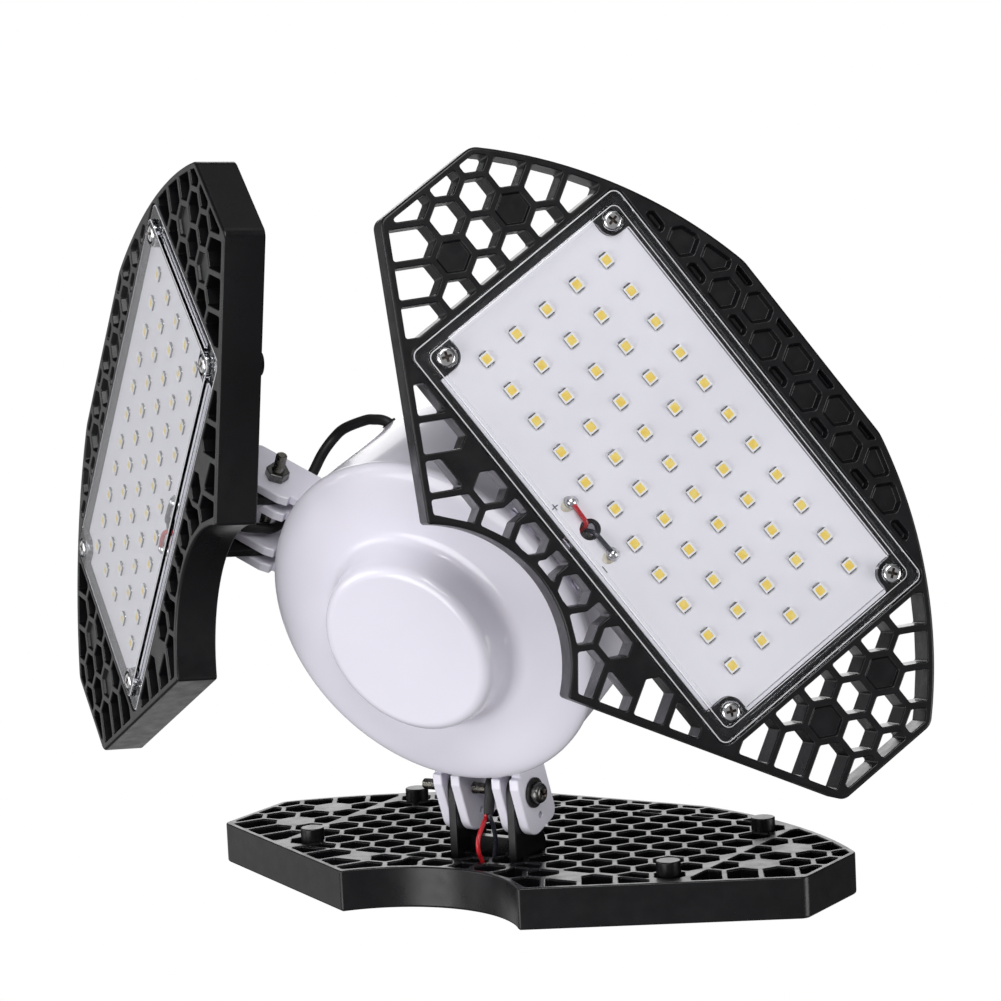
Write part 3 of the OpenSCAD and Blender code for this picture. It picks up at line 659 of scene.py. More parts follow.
def wing_outline():
    S = np.array([0, SCOOP_Y])
    xf = math.sqrt(WING_R ** 2 - (SCOOP_Y - FLAT_Y) ** 2)
    yc = SCOOP_Y - math.sqrt(WING_R ** 2 - WING_HALF ** 2)
    y2 = (SC - SX * WING_HALF) / SY
    # right half, counter-clockwise from the flat edge
    R = [(xf, FLAT_Y, 9.0, 4)]
    a0, a1 = math.degrees(math.atan2(FLAT_Y - SCOOP_Y, xf)), math.degrees(math.atan2(yc - SCOOP_Y, WING_HALF))
    R += [("arc", WING_R, a) for a in np.linspace(a0 + 1.2, a1 - 2.2, 34)]
    R += [(WING_HALF, yc, 4.2, 6), (WING_HALF, y2, 3.0, 7)]
    # slanted edge meets the scoop circle
    d = np.array([-SY, SX]); p0 = np.array([WING_HALF, y2]) - S
    b = p0 @ d; c = p0 @ p0 - SCOOP_R ** 2
    t = -b - math.sqrt(b * b - c)
    q = S + p0 + d * t
    s0 = math.degrees(math.atan2(q[1] - SCOOP_Y, q[0]))
    R += [(q[0], q[1], 1.3, 6)]
    R += [("scoop", SCOOP_R, a) for a in np.linspace(s0 - 3.0, -90, 26)]
    P, N = [], []
    full = list(R)
    L = []
    for e in R[::-1]:
        if e[0] == "scoop" and abs(e[2] + 90) < 1e-6:
            continue
        if e[0] in ("arc", "scoop"):
            L.append((e[0], e[1], 180 - e[2]))
        else:
            L.append((-e[0], *e[1:]))
    full += L
    pos = []
    for e in full:
        if e[0] in ("arc", "scoop"):
            a = math.radians(e[2])
            pos.append((S[0] + e[1] * math.cos(a), S[1] + e[1] * math.sin(a), 0))
        else:
            pos.append(e)
    # run poly for the corners, and keep the exact radial normals on the arcs
    P, N = poly(pos)
    out, i = [], 0
    for e, p in zip(full, pos):
        if e[0] in ("arc", "scoop"):
            a = math.radians(e[2])
            N[i] = np.array([math.cos(a), math.sin(a)]) * (1 if e[0] == "arc" else -1)
            i += 1
        else:
            i += (p[3] if len(p) > 3 else 3) + 1
    assert i == len(P)
    return P, N


def wing_frame(lines):
    B = Build()
    top, bot = [], []
    t, b = wall(B, wing_outline(), edge(Z_FRONT, Z_BACK, 0.75, 0.4, 3))
    top.append(t); bot.append(b)
    for c in OPEN:
        t, b = wall(B, hole_of(soft_poly(c, 0.6)), edge(Z_FRONT, Z_BACK, 0.34, 0.5, 2))
        top.append(t); bot.append(b)
    # pocket of the light board
    t, fl = wall(B, hole_of(rrect(-60.9, -13.1, 60.9, 52.3, 2.6, 6)), edge(Z_FRONT, Z_PCB, 0.5, 0, 2))
    top.append(t)
    # recessed honeycomb on the outer strip: sloping sides
    for c in STRIP:
        P = hole_of(soft_poly(c, 1.1))
        prof = [(-0.25, Z_FRONT, 0.0, 1.0), (-0.08, Z_FRONT - 0.08, 0.55, 0.83), (0.04, Z_FRONT - 0.25, 0.93, 0.37), (0.62, Z_STRIP + 0.22, 0.93, 0.37),
                (0.72, Z_STRIP + 0.07, 0.6, 0.8), (0.92, Z_STRIP, 0.0, 1.0)]
        t, f = wall(B, P, prof)
        top.append(t)
        B.disc(f[0], 1)
    for c in BLANK:
        P = hole_of(soft_poly(c, 0.6))
        prof = [(-0.25, Z_FRONT, 0.0, 1.0), (-0.08, Z_FRONT - 0.08, 0.55, 0.83), (0.04, Z_FRONT - 0.25, 0.9, 0.43), (0.3, 1.08, 0.9, 0.43),
                (0.45, 1.0, 0.0, 1.0)]
        t, f = wall(B, P, prof)
        top.append(t)
        B.disc(f[0], 1)
    B.cap(top, 1)
    # pockets at the back, with a slight draft
    lows = []
    for k, m, c in BACK:
        t, f = wall(B, hole_of(soft_poly(c, 0.5)), [(o, -z, a, -b_) for o, z, a, b_ in edge(-Z_BACK, -Z_FLOOR, 0.5, 0, 3, draft=-0.15)])
        bot.append(t)
        if (k, m) == (0, 6):
            h = wall(B, hole_of(circ(WIRE_HOLE[0], WIRE_HOLE[1], 1.9, 32)), [(0, -3.0, 1, 0), (0, Z_FLOOR, 1, 0)])
            B.cap([f, h[1]], -1)
            lows.append(h[0])
        elif (k, m) == (0, 7):
            h = wall(B, hole_of(circ(1.5, 49.9, 1.75, 28)), [(0, -3.0, 1, 0), (0, Z_FLOOR, 1, 0)])
            B.cap([f, h[1]], -1)
            lows.append(h[0])
        else:
            B.disc(f[0], -1)
    # channel for the leads under the board
    ang = np.radians(np.r_[np.linspace(172, 368, 15), np.linspace(-4, 176, 13)])
    cx = np.r_[np.full(15, WIRE_HOLE[0]), np.full(13, 1.5)]
    cy = np.r_[np.full(15, WIRE_HOLE[1]), np.full(13, 49.9)]
    rr = np.r_[np.full(15, 2.2), np.full(13, 2.0)]
    d = np.c_[np.cos(ang), np.sin(ang)]
    ch = wall(B, hole_of((np.c_[cx, cy] + d * rr[:, None], d)), [(0, Z_PCB, 1, 0), (0, -3.0, 1, 0)])
    B.cap([fl, ch[0]], 1)
    B.cap([ch[1]] + lows, 1)
    for c in STRIP:
        t, f = wall(B, hole_of(soft_poly(c, 0.5)), [(o, -z, a, -b_) for o, z, a, b_ in edge(-Z_BACK, -Z_FLOOR, 0.5, 0, 3, draft=-0.15)])
        bot.append(t)
        B.disc(f[0], -1)
    B.cap(bot, -1)
    # pegs for the cover's screws
    for x, y in SCR:
        P = circ(x, y, 3.2, 36)
        t, b = wall(B, P, edge(Z_FLOOR - 0.5, Z_BACK - 3.3, 0, 0.35, 3))
        B.disc(t[0], 1)
        B.disc(b[0], -1)
    # hinge lugs, in (y, z) with the thickness along x
    for s in (-1, 1):
        M = np.array([[0, 0, 1, s * LUG_X - LUG_T / 2], [1, 0, 0, 0], [0, 1, 0, 0], [0, 0, 0, 1.0]])
        B.T = M
        prof = [(31.2, Z_FLOOR - 0.3, 0.4, 2), (31.2, Z_BACK - 1.5, 3.0, 5)]
        prof += [(AH + 5 * math.cos(math.radians(a)), ZH + 5 * math.sin(math.radians(a)), 0) for a in np.linspace(182, 360, 26)]
        prof += [(AH + 5, Z_FLOOR - 0.3, 0.4, 2)]
        plate(B, poly(prof), [circ(AH, ZH, 1.6, 28)], LUG_T, 0, 0.35, 0.35, 0.2, 0.2)
        B.T = np.eye(4)
    plate(B, rrect(-LUG_X, 37, LUG_X, 40.2, 0.4, 2), [], Z_FLOOR - 0.3, Z_BACK - 3.7, 0.1, 0.35)
    return B


FRAME_BUILD = wing_frame(None)
FRAME_BUILD.close()
frame_mesh = None
W = "abc"
made = {}


def put(name, B, mats, w, node=None, body=None, at=None, share=None):
    """Makes a wing's or the hub's piece and rides it on its body."""
    key = share
    if key and key in made:
        me = made[key].copy()
        me.name = name
        ob = bpy.data.objects.new(name, me)
        scene.collection.objects.link(ob)
    else:
        ob = B.object(name, mats)
        if key:
            made[key] = ob.data.copy()
    if at is not None:
        Q = np.array(at, float).copy(); Q[:3, 3] *= 0.001
        ob.data.transform(Matrix(Q.tolist()))
        ob.data.update()
    bpy.context.view_layer.update()
    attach(ob, body)
    if node:
        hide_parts(*([node] if isinstance(node, str) else node))
    return ob


for w in W:
    put("wing_frame_" + w, FRAME_BUILD, [BLACK], w, "frame_" + w, "wing_" + w, wing_at(w), "frame")


# ------------------------------------------------------------------ light board, chips, solder
def notched(x0, y0, x1, y1, r, rc=0.4):
    """A rectangle whose corners turn in round the cover's screw posts."""
    L = []
    for (cx, cy), order in (((54.8, -6.8), 0), ((54.8, 45.6), 1), ((-54.8, 45.6), 2), ((-54.8, -6.8), 3)):
        ex, ey = (x1 if cx > 0 else x0), (y1 if cy > 20 else y0)
        sx, sy = (1 if cx > 0 else -1), (1 if cy > 20 else -1)
        A = [(cx - sx * r, ey, rc, 2)]
        arc = [(cx + r * math.cos(t), cy + r * math.sin(t), 0) for t in
               np.radians(np.linspace(180 if sx > 0 else 0, (90 if sy < 0 else 270) if sx > 0 else (90 if sy < 0 else -90), 13))]
        Bp = [(ex, cy - sy * r, rc, 2)]
        seq = A + arc + Bp
        L += seq if order in (0, 2) else seq[::-1]
    return poly(L)


def led_board():
    B = Build()
    hole = circ(WIRE_HOLE[0], WIRE_HOLE[1], 2.6, 40)
    outer = notched(-57.8, -9.5, 57.8, 49.9, 3.6)
    tops, bots = [], []
    # the wire hole's wall takes the ink (material 2): painted shade inside the hole
    for loop, m in ((outer, 1), (hole_of(hole), 2)):
        t, b = wall(B, loop, [(-0.12, 0, 0, 1), (-0.03, -0.03, 0.7, 0.7), (0, -0.12, 1, 0), (0, Z_PCB, 1, 0)], 0, [0, m, m])
        tops.append(t); bots.append(b)
    B.cap(tops, 1, 0)
    B.cap(bots, -1, 1)
    return B


def chip(i, j):
    return (5.07 - i) * 9.5, (3.83 if (i == 5 and j == 4) else j) * 9.5


def leds():
    B = Build()
    L, Wd, H = 3.5, 2.8, 0.75
    for i in range(11):
        for j in range(5):
            cx, cy = chip(i, j)
            ang = rng.normal(0, 0.5)
            B.T = tr(cx + rng.normal(0, 0.02), cy + rng.normal(0, 0.02), 0) @ rot("Z", ang)
            # package with a sloping cup; its lower side band and underside take the dark package-side finish, painted
            # shade for the shadowed gap under the package, partly the dark lead frame
            out = rrect(-L / 2 + 0.25, -Wd / 2, L / 2 - 0.25, Wd / 2, 0.1, 2)
            t, b3 = wall(B, out, [(-0.07, H, 0, 1), (-0.02, H - 0.02, 0.7, 0.7), (0, H - 0.07, 1, 0), (0, H - 0.3, 1, 0), (0, 0.02, 1, 0)], 0, [0, 0, 0, 1])
            B.disc(b3[0], -1, 1)
            cup = rrect(-1.14, -1.05, 1.14, 1.05, 0.42, 4)
            ct, cb = wall(B, hole_of(cup), [(-0.05, H, 0, 1), (0, H - 0.05, 0.8, 0.6), (0.1, H - 0.17, 0.8, 0.6)], 0)
            B.cap([t, ct], 1, 0)
            # phosphor, a little domed
            P, N = cup
            rings = [(cb[0], B.dirs(np.c_[N * 0.12, np.ones(len(N))]))]
            for f, z in ((0.8, H - 0.14), (0.45, H - 0.125)):
                q = P * f - N * 0.05
                rings.append((B.pts(np.c_[q, np.full(len(q), z)]), B.dirs(np.c_[N * (0.12 if f > 0.5 else 0.05), np.ones(len(q))])))
            B.loft(rings[0][0], rings[1][0], rings[0][1], rings[1][1], 2)
            B.loft(rings[1][0], rings[2][0], rings[1][1], rings[2][1], 2)
            B.disc(rings[2][0], 1, 2)
            # solder at both ends
            for s in (-1, 1):
                E = poly([(s * 1.5, -1.12, 0.1, 2), (s * 1.95, -0.95, 0.35, 3), (s * 1.95, 0.95, 0.35, 3), (s * 1.5, 1.12, 0.1, 2)][::s])
                tt, bb = wall(B, E, [(-0.32, 0.48, 0.2, 0.98), (-0.2, 0.36, 0.6, 0.8), (-0.04, 0.12, 0.75, 0.66), (0.02, 0.0, 0.9, 0.4)], 3)
                B.disc(tt[0], 1, 3)
                B.disc(bb[0], -1, 3)
    B.T = np.eye(4)
    return B


def solder_pads():
    B = Build()
    for n, (x, y) in enumerate((PAD_R, PAD_B)):
        # tinned pad, longer towards the hub
        t = np.arange(40) * 2 * math.pi / 40
        pad = np.c_[x + 1.55 * np.cos(t), y + 0.9 + 2.1 * np.sin(t)]
        pn = np.c_[np.cos(t), np.sin(t)]
        a, b = wall(B, (pad, pn), [(-0.12, 0.07, 0.1, 1), (-0.03, 0.05, 0.7, 0.7), (0, 0.0, 1, 0)], 1)
        B.disc(a[0], 1, 1); B.disc(b[0], -1, 1)
        # blob
        prof = [(1.75, 0.02), (1.6, 0.16), (1.42, 0.42), (1.22, 0.78), (0.92, 1.1), (0.55, 1.3), (0.22, 1.38)]
        k = 36
        th = np.arange(k) * 2 * math.pi / k
        rings = []
        pn = curve_normals([(r, z) for r, z in prof])
        for (r, z), (nr, nz) in zip(prof, pn):
            wob = 1 + 0.07 * np.sin(2 * th + n * 1.3 + z) + 0.05 * np.sin(3 * th + 2.1 * n + 2 * z) + 0.03 * np.sin(5 * th + 3 * z)
            q = np.c_[x + r * wob * np.cos(th), y + r * wob * np.sin(th), np.full(k, z) * (1 + 0.04 * np.sin(2 * th + n))]
            rings.append((B.pts(q), B.dirs(np.c_[nr * np.cos(th), nr * np.sin(th), np.full(k, nz)])))
        for r0, r1 in zip(rings, rings[1:]):
            B.loft(r0[0], r1[0], r0[1], r1[1], 0)
        B.disc(rings[-1][0], 1, 0)
        B.disc(rings[0][0], -1, 0)
    return B


def marks():
    """A plus by the red lead's pad and a minus by the black lead's."""
    B = Build()
    def bar(x, y, l, wd):
        plate(B, rrect(x - l / 2, y - wd / 2, x + l / 2, y + wd / 2, 0.08, 2), [], 0.035, -0.01, 0.01, 0.01, n=1)
    x, y = PAD_R[0] + 1.6, 47.55
    bar(x, y, 1.9, 0.26)
    plate(B, rrect(x - 0.13, y - 0.95, x + 0.13, y + 0.95, 0.08, 2), [], 0.036, -0.011, 0.01, 0.01, n=1)
    bar(PAD_B[0] - 1.6, 47.55, 1.9, 0.26)
    return B


bb, lb, sb, mb = led_board(), leds(), solder_pads(), marks()
for w in W:
    M = wing_at(w)
    put("board_" + w, bb, [BOARD, BOARD_EDGE, INK_AND_HOLE_SHADE], w, "led_board_" + w, "wing_" + w, M, "board")
    put("chips_" + w, lb, [PACK, PACK_SHADE_SIDE, PHOS, SOLDER], w, "leds_" + w, "wing_" + w, M, "leds")
    put("solder_" + w, sb, [SOLDER, FLUX], w, "solder_joints_" + w, "wing_" + w, M, "solder")
    put("polarity_marks_" + w, mb, [INK_AND_HOLE_SHADE], w, None, "wing_" + w, M, "marks")


# ------------------------------------------------------------------ clear cover
def lens():
    B = Build()
    base = rrect(-60.7, -12.9, 60.7, 52.1, 2.4, 8)
    step = rrect(-57.9, -10.1, 57.9, 49.3, 2.0, 8)
    z0, z1, z2 = Z_PCB, 1.5, 3.0
    cav2 = notched(-59.3, -11.5, 59.3, 50.7, 3.35)
    cav3 = notched(-56.7, -8.9, 56.7, 48.1, 3.55)
    # outer skin; the rounded top edges (material 2) take the cover finish mixed with white, a painted highlight along
    # the edges
    t0, b0 = wall(B, base, edge(z1, z0, 0.35, 0.15, 3), 1, [2, 2, 1, 1, 1, 1, 1])
    prof = edge(z2, z1 + 0.35, 0.25, 0, 4) + [(0.06, z1 + 0.12, 0.8, 0.6), (0.35, z1, 0.0, 1.0)]
    t1, b1 = wall(B, step, prof, 1, [2, 2, 2, 1, 1, 1, 1])
    B.cap([t0, b1], 1, 1)
    tops, bots, shelf = [t1], [b0], []
    for x, y in SCR:
        t, b = wall(B, hole_of(circ(x, y, 2.66, 40)), edge(z2, 1.2, 0.12, 0, 3), 1)
        tops.append(t)
        t3, b3 = wall(B, hole_of(circ(x, y, 1.4, 28)), [(0, 1.2, 1, 0), (0, z0, 1, 0)], 1)
        B.cap([b, t3], 1, 1)
        bots.append(b3)
    B.cap(tops, 1, 0)
    # inner skin
    c2 = wall(B, hole_of(cav2), [(0, z0, 1, 0), (0, 0.3, 1, 0)], 1)
    c3 = wall(B, hole_of(cav3), [(0, 0.3, 1, 0), (0, z2 - 1.2, 1, 0)], 0)
    bots.append(c2[0])
    B.cap(bots, -1, 1)
    B.cap([c2[1], c3[0]], -1, 1)
    B.cap([c3[1]], -1, 0)
    return B


def cross_loop(w, l, r=0.12):
    c = [(w, -l), (w, -w), (l, -w), (l, w), (w, w), (w, l), (-w, l), (-w, w), (-l, w), (-l, -w), (-w, -w), (-w, -l)]
    return poly([(x, y, r, 2) for x, y in c])


def pan_head(B, r, h, slot_w, slot_l, depth, flat, n=40, m_head=0, m_slot=1):
    """Pan head standing on z = 0, with a cross recess."""
    pr = [(r - 0.12, 0.0), (r - 0.02, 0.06), (r, 0.2)]
    k = 9
    for i in range(k + 1):
        a = math.pi / 2 * i / k * 0.96
        pr.append((flat + (r - flat) * math.cos(a), h * 0.42 + (h * 0.58) * math.sin(a)))
    pr[-1] = (flat, h)
    N = curve_normals(pr)
    N[-1] = (0, 1)
    t = np.arange(n) * 2 * math.pi / n
    c, s = np.cos(t), np.sin(t)
    rings = [(B.pts(np.c_[q * c, q * s, np.full(n, z)]), B.dirs(np.c_[a * c, a * s, np.full(n, b)])) for (q, z), (a, b) in zip(pr, N)]
    for a, b in zip(rings, rings[1:]):
        B.loft(a[0], b[0], a[1], b[1], m_head)
    B.disc(rings[0][0], -1, m_head)
    loop = cross_loop(slot_w, slot_l)
    # the cross recess takes the m_slot finish, a darker metal painted as shade in the recess
    st, sb_ = wall(B, hole_of(loop), [(-0.06, h, 0, 1), (0, h - 0.06, 0.8, 0.6), (0.06, h - depth * 0.6, 1, 0.1), (0.14, h - depth, 1, 0.1)], m_slot)
    xy = np.c_[flat * c, flat * s]
    B.cap([(rings[-1][0], xy), st], 1, m_head)
    B.disc(sb_[0], 1, m_slot)


def lens_screws():
    B = Build()
    for q, (x, y) in enumerate(SCR):
        B.T = tr(x, y, 1.2) @ rot("Z", (12, 38, -20, 64)[q])
        pan_head(B, 2.45, 2.0, 0.3, 1.25, 1.1, 1.5, 48)
        B.T = tr(x, y, 0)
        shaft = circ(0, 0, 1.15, 20)
        t, b = wall(B, shaft, edge(1.2, Z_BACK - 1.2, 0, 0.3, 2), 0)
        B.disc(t[0], 1, 0); B.disc(b[0], -1, 0)
    B.T = np.eye(4)
    return B


ln, ls = lens(), lens_screws()
for w in W:
    M = wing_at(w)
    put("clear_cover_" + w, ln, [CLEAR, CLEAR_EDGE, CLEAR_HIGHLIGHT_EDGE], w, "lens_" + w, "wing_" + w, M, "lens")
    put("cover_screws_" + w, ls, [CHROME, CHROME_RECESS_SHADE], w, "lens_screws_" + w, "wing_" + w, M, "lscr")

# ------------------------------------------------------------------ hub
def zz(h):
    return -60.0 - h


def hub_cover():
    """One closed shell: the outside and the inside share their count, so they meet."""
    B = Build()
    out = [(0, 20.0), (8, 20.0), (15, 20.0), (21.0, 19.98), (22.0, 19.88), (22.9, 19.5), (23.6, 18.85), (24.05, 17.9)]
    side = cr([(24.05, 17.9), (24.5, 15.9), (25.0, 13.6), (25.55, 11.8), (26.5, 10.35), (28.2, 9.5), (31, 9.15), (38, 8.6), (42.2, 8.1), (44.6, 7.55), (45.9, 6.85),
               (46.42, 6.0), (46.5, 5.3)], 5)
    out += [tuple(p) for p in side[1:]]
    n_out = len(out)
    low = [(46.5, 4.75), (46.4, 4.5), (46.15, 4.4), (45.3, 4.4), (45.06, 4.5), (45.0, 4.75)]
    inn = [(45.0, 5.1), (44.8, 5.4), (43.2, 6.2), (38, 6.8), (30, 7.2), (25.2, 7.5), (24.2, 7.9), (23.5, 9.2), (22.8, 13), (21.9, 17.2), (21.3, 17.9), (20.4, 18), (10, 18), (0, 18)]
    P = np.array([(r, zz(h)) for r, h in out + low + inn])
    d = np.gradient(P, axis=0)
    N = np.c_[-d[:, 1], d[:, 0]]
    N /= np.linalg.norm(N, axis=1, keepdims=True)
    if N[12][0] < 0:
        N = -N
    N[:4] = (0, -1)
    N[-3:] = (0, 1)
    n = 192
    mats = [0] * (n_out + len(low)) + [1] * (len(inn) + 2)
    lathe(B, P, n, 0, N, mats=mats)
    return B


EAR_X = (-11.75, -6.25, 6.25, 11.75)
EXIT_AZ = 28.6


def ear_plane(y):
    """Maps (x, y, thickness) to (radius, z of the hub, across)."""
    return np.array([[1, 0, 0, 0], [0, 0, 1, y - 1.4], [0, 1, 0, 0], [0, 0, 0, 1.0]])


def housing():
    B = Build()
    body = [(43.0, 4.2), (43.3, 4.35), (45.5, 4.35), (45.85, 4.2), (45.9, 3.8), (45.85, -1), (45.7, -8), (45.2, -19), (44.7, -29.6), (44.4, -31.6), (43.5, -33.4), (42.0, -34.8), (40.0, -36.0), (36, -38.3), (30, -41.5),
            (25.5, -44.2), (22.5, -46.2), (20.6, -48.0), (19.3, -50.0), (18.2, -52.4), (17.55, -54.6), (17.1, -57.5), (17.0, -59.3), (16.85, -59.85), (16.5, -60)]
    inn = [(15.8, -60), (15.45, -59.8), (15.4, -59), (15.4, -54), (16.0, -51.4), (17.2, -48.8), (19, -46.5), (21, -44.6), (29, -39.4), (36, -35.6), (39.4, -33.8), (41.2, -32.4), (42.2, -30.6), (42.5, -28),
           (43.4, -8), (43.4, 0), (43.0, 3.2)]
    pts = [(r, zz(h)) for r, h in body + inn]
    P = np.array(pts)
    Pc = np.vstack([P[-1:], P, P[:1]])
    d = (Pc[2:] - Pc[:-2])
    N = np.c_[-d[:, 1], d[:, 0]]
    N /= np.linalg.norm(N, axis=1, keepdims=True)
    if N[7][0] < 0:
        N = -N
    mats = [0] * (len(body)) + [1] * len(inn)
    lathe(B, P, 192, 0, N, closed=True, mats=mats)
    for w in W:
        H = hub_at(w)
        for q, y in enumerate(EAR_X):
            # the hub plane is (radius, z); counter-clockwise when seen from the side
            out = poly([(43.9, zz(3.9), 0.5, 2), (46.9, zz(3.9), 0.2, 2), (46.9, zz(5.4), 0.5, 2), (49.5, zz(6.2), 1.5, 3), (65.3, zz(6.2), 5, 12), (65.3, zz(-8.2), 3, 10), (43.9, zz(-8.2), 0.5, 2)])
            B.T = H @ ear_plane(y)
            holes = [circ(HINGE_R, HINGE_Z, 1.58, 28), circ(61.1, zz(-0.6), 0.9, 20)]
            plate(B, out, holes, 2.8, 0, 0.45, 0.45, 0.15, 0.15, 0, 3)
        B.T = np.eye(4)
    for i in range(3):
        a = math.radians(60 + 120 * i)
        t, b = wall(B, circ(34 * math.cos(a), 34 * math.sin(a), 3.0, 28), edge(zz(-36.5), zz(-22.6), 0.2, 0.2, 2), 1)
        B.disc(t[0], 1, 1); B.disc(b[0], -1, 1)
    return B


cov = put("hub_cover", hub_cover(), [WHITE, WHITE_IN], None, "front_cover", "hub")
hou = put("hub_housing", housing(), [WHITE, WHITE_IN], None, "rear_housing", "hub")


# ------------------------------------------------------------------ hinge hardware
def along_hinge(w):
    return hub_at(w) @ tr(HINGE_R, 0, HINGE_Z) @ rot("X", -90)


def thread(B, z0, z1, r, pitch, depth, n=22, per=8, mat=0, lead=0.0):
    """A helical thread from z0 to z1, fading out at both ends."""
    k = int(round((z1 - z0) / pitch * per))
    t = np.arange(n) * 2 * math.pi / n
    c, s = np.cos(t), np.sin(t)
    rings = []
    for i in range(k + 1):
        z = z0 + (z1 - z0) * i / k
        ph = (z / pitch - t / (2 * math.pi)) % 1.0
        saw = np.abs(ph * 2 - 1)
        fade = min(1, (z - z0) / pitch, (z1 - z) / pitch)
        end = 1.0 if z1 - z > 0.6 else math.sqrt(max(0.0, 1 - (1 - (z1 - z) / 0.6) ** 2)) * 0.35 + 0.65
        q = (r - depth * (1 - saw) * max(0.0, fade)) * end
        slope = np.where(ph < 0.5, 1.0, -1.0) * depth / (pitch / 2)
        rings.append((B.pts(np.c_[q * c, q * s, np.full(n, z)]), B.dirs(np.c_[c, s, slope * 0.8 * fade])))
    for a, b in zip(rings, rings[1:]):
        B.loft(a[0], b[0], a[1], b[1], mat)
    B.disc(rings[-1][0], 1, mat)
    B.disc(rings[0][0], -1, mat)


def screws():
    B = Build()
    for q, w in enumerate(W):
        B.T = along_hinge(w) @ tr(0, 0, -13.95) @ rot("X", 180) @ rot("Z", (20, 65, 32)[q])
        pan_head(B, 2.8, 2.3, 0.38, 1.55, 1.3, 1.7, 56, 0, 1)
        B.T = along_hinge(w)
        thread(B, -13.9, 20.6, 1.5, 0.5, 0.2, 20, 6, 2)
    B.T = np.eye(4)
    return B


def washers():
    B = Build()
    for w in W:
        B.T = along_hinge(w) @ tr(0, 0, -13.95)
        plate(B, circ(0, 0, 4.0, 56), [circ(0, 0, 1.55, 28)], 0.8, 0, 0.22, 0.22, 0.1, 0.1, 0, 3)
    B.T = np.eye(4)
    return B


def nuts():
    B = Build()
    for q, w in enumerate(W):
        B.T = along_hinge(w) @ tr(0, 0, 13.15) @ rot("Z", (10, 22, 5)[q])
        hexa = poly([(3.18 * math.cos(math.radians(60 * i)), 3.18 * math.sin(math.radians(60 * i)), 0.4, 3) for i in range(6)])
        plate(B, hexa, [circ(0, 0, 1.55, 28)], 2.4, 0, 0.32, 0.32, 0.2, 0.2, 0, 2)
    B.T = np.eye(4)
    return B


put("hinge_screw_set", screws(), [DARK, CHROME_RECESS_SHADE, BRASSY], None, "hinge_screws", "hub")
put("hinge_washer_set", washers(), [WASHER], None, "hinge_washers", "hub")
put("hinge_nut_set", nuts(), [DARK], None, "hinge_nuts", "hub")


# ------------------------------------------------------------------ screw base with a helical thread
def base_shell():
    B = Build()
    n, per, pitch = 72, 12, 3.62
    t = np.arange(n) * 2 * math.pi / n
    c, s = np.cos(t), np.sin(t)
    prof = [(14.2, 0.0), (14.2, 0.9), (13.9, 1.15), (13.0, 1.45), (12.5, 1.7)]
    rows = [(np.full(n, r), np.full(n, z)) for r, z in prof]
    k = int(18.6 / pitch * per)
    for i in range(k + 1):
        z = 1.9 + 18.6 * i / k
        ph = (z / pitch - t / (2 * math.pi)) * 2 * math.pi
        fade = min(1.0, max(0.0, (z - 1.9) / 2.0), max(0.0, (20.5 - z) / 2.0))
        rows.append((12.62 + 0.55 * np.sin(ph) * fade, np.full(n, z)))
    for r, z in [(12.35, 20.9), (11.8, 21.5), (11.2, 21.95), (10.7, 22.2), (10.4, 22.25), (10.4, 21.75), (11.0, 21.2), (11.4, 20.6), (11.4, 12), (11.4, 1.2), (11.5, 0.0)]:
        rows.append((np.full(n, r), np.full(n, z)))
    R = np.array([r for r, z in rows]); Z = np.array([z for r, z in rows])
    dR = np.gradient(R, axis=0); dZ = np.gradient(Z, axis=0)
    idx = [B.pts(np.c_[R[i] * c, R[i] * s, Z[i]]) for i in range(len(rows))]
    nr = [B.dirs(np.c_[dZ[i] * c, dZ[i] * s, -dR[i]]) for i in range(len(rows))]
    for i in range(len(rows) - 1):
        B.loft(idx[i], idx[i + 1], nr[i], nr[i + 1], 0)
    B.loft(idx[-1], idx[0], B.dirs(np.tile([[0, 0, -1.0]], (n, 1))), B.dirs(np.tile([[0, 0, -1.0]], (n, 1))), 0)
    return B


put("screw_shell", base_shell(), [BASE], None, "base_shell", "hub")

# ------------------------------------------------------------------ leads: sheath on the hub, two wires to the wing
SH = cr([(r * math.cos(math.radians(a)), r * math.sin(math.radians(a)), zz(h)) for a, r, h in
         [(28.6, 42.3, -30.4), (28.6, 43.7, -30.4), (28.5, 45.0, -30.4), (27.2, 46.5, -30.4), (24.9, 47.9, -30.4), (21.9, 49.4, -30.5), (15, 52.2, -29.5), (10.8, 53.1, -28),
          (7.6, 52.9, -23.6), (5, 51.3, -16.5), (1, 50.4, -8), (-1.15, 49.9, -2.5), (-2.04, 50.63, 1.6), (-2.24, 53.64, 3.9), (-2.11, 57.04, 6.3)]], 6)


def w2h(p, t):
    t = math.radians(t)
    q = (-(p[1] - AH), -p[0], -(p[2] - ZH))
    return np.array([HINGE_R + q[0] * math.cos(t) - q[2] * math.sin(t), q[1], HINGE_Z + q[0] * math.sin(t) + q[2] * math.cos(t)])


RED_LOW = [(1.9, 50.4, -8.6), (1.7, 49.9, -5.2), (1.65, 49.3, -2.95), (1.7, 47.9, -2.36), (1.7, 46.3, -2.33), (1.8, 45.0, -1.7), (2.1, 44.4, -0.3),
           (3.1, 44.0, 0.85), (5.2, 43.9, 1.0), (7.8, 43.7, 0.85)]
BLACK_LOW = [(3.1, 45.2, -13.4), (2.5, 44.9, -9.8), (1.7, 44.8, -6.6), (0.5, 44.3, -3.6), (0.1, 44.1, -1.6), (-0.3, 44.0, 0.1), (-1.3, 43.9, 0.9), (-3.6, 43.8, 1.0),
             (-6.5, 43.7, 0.85)]


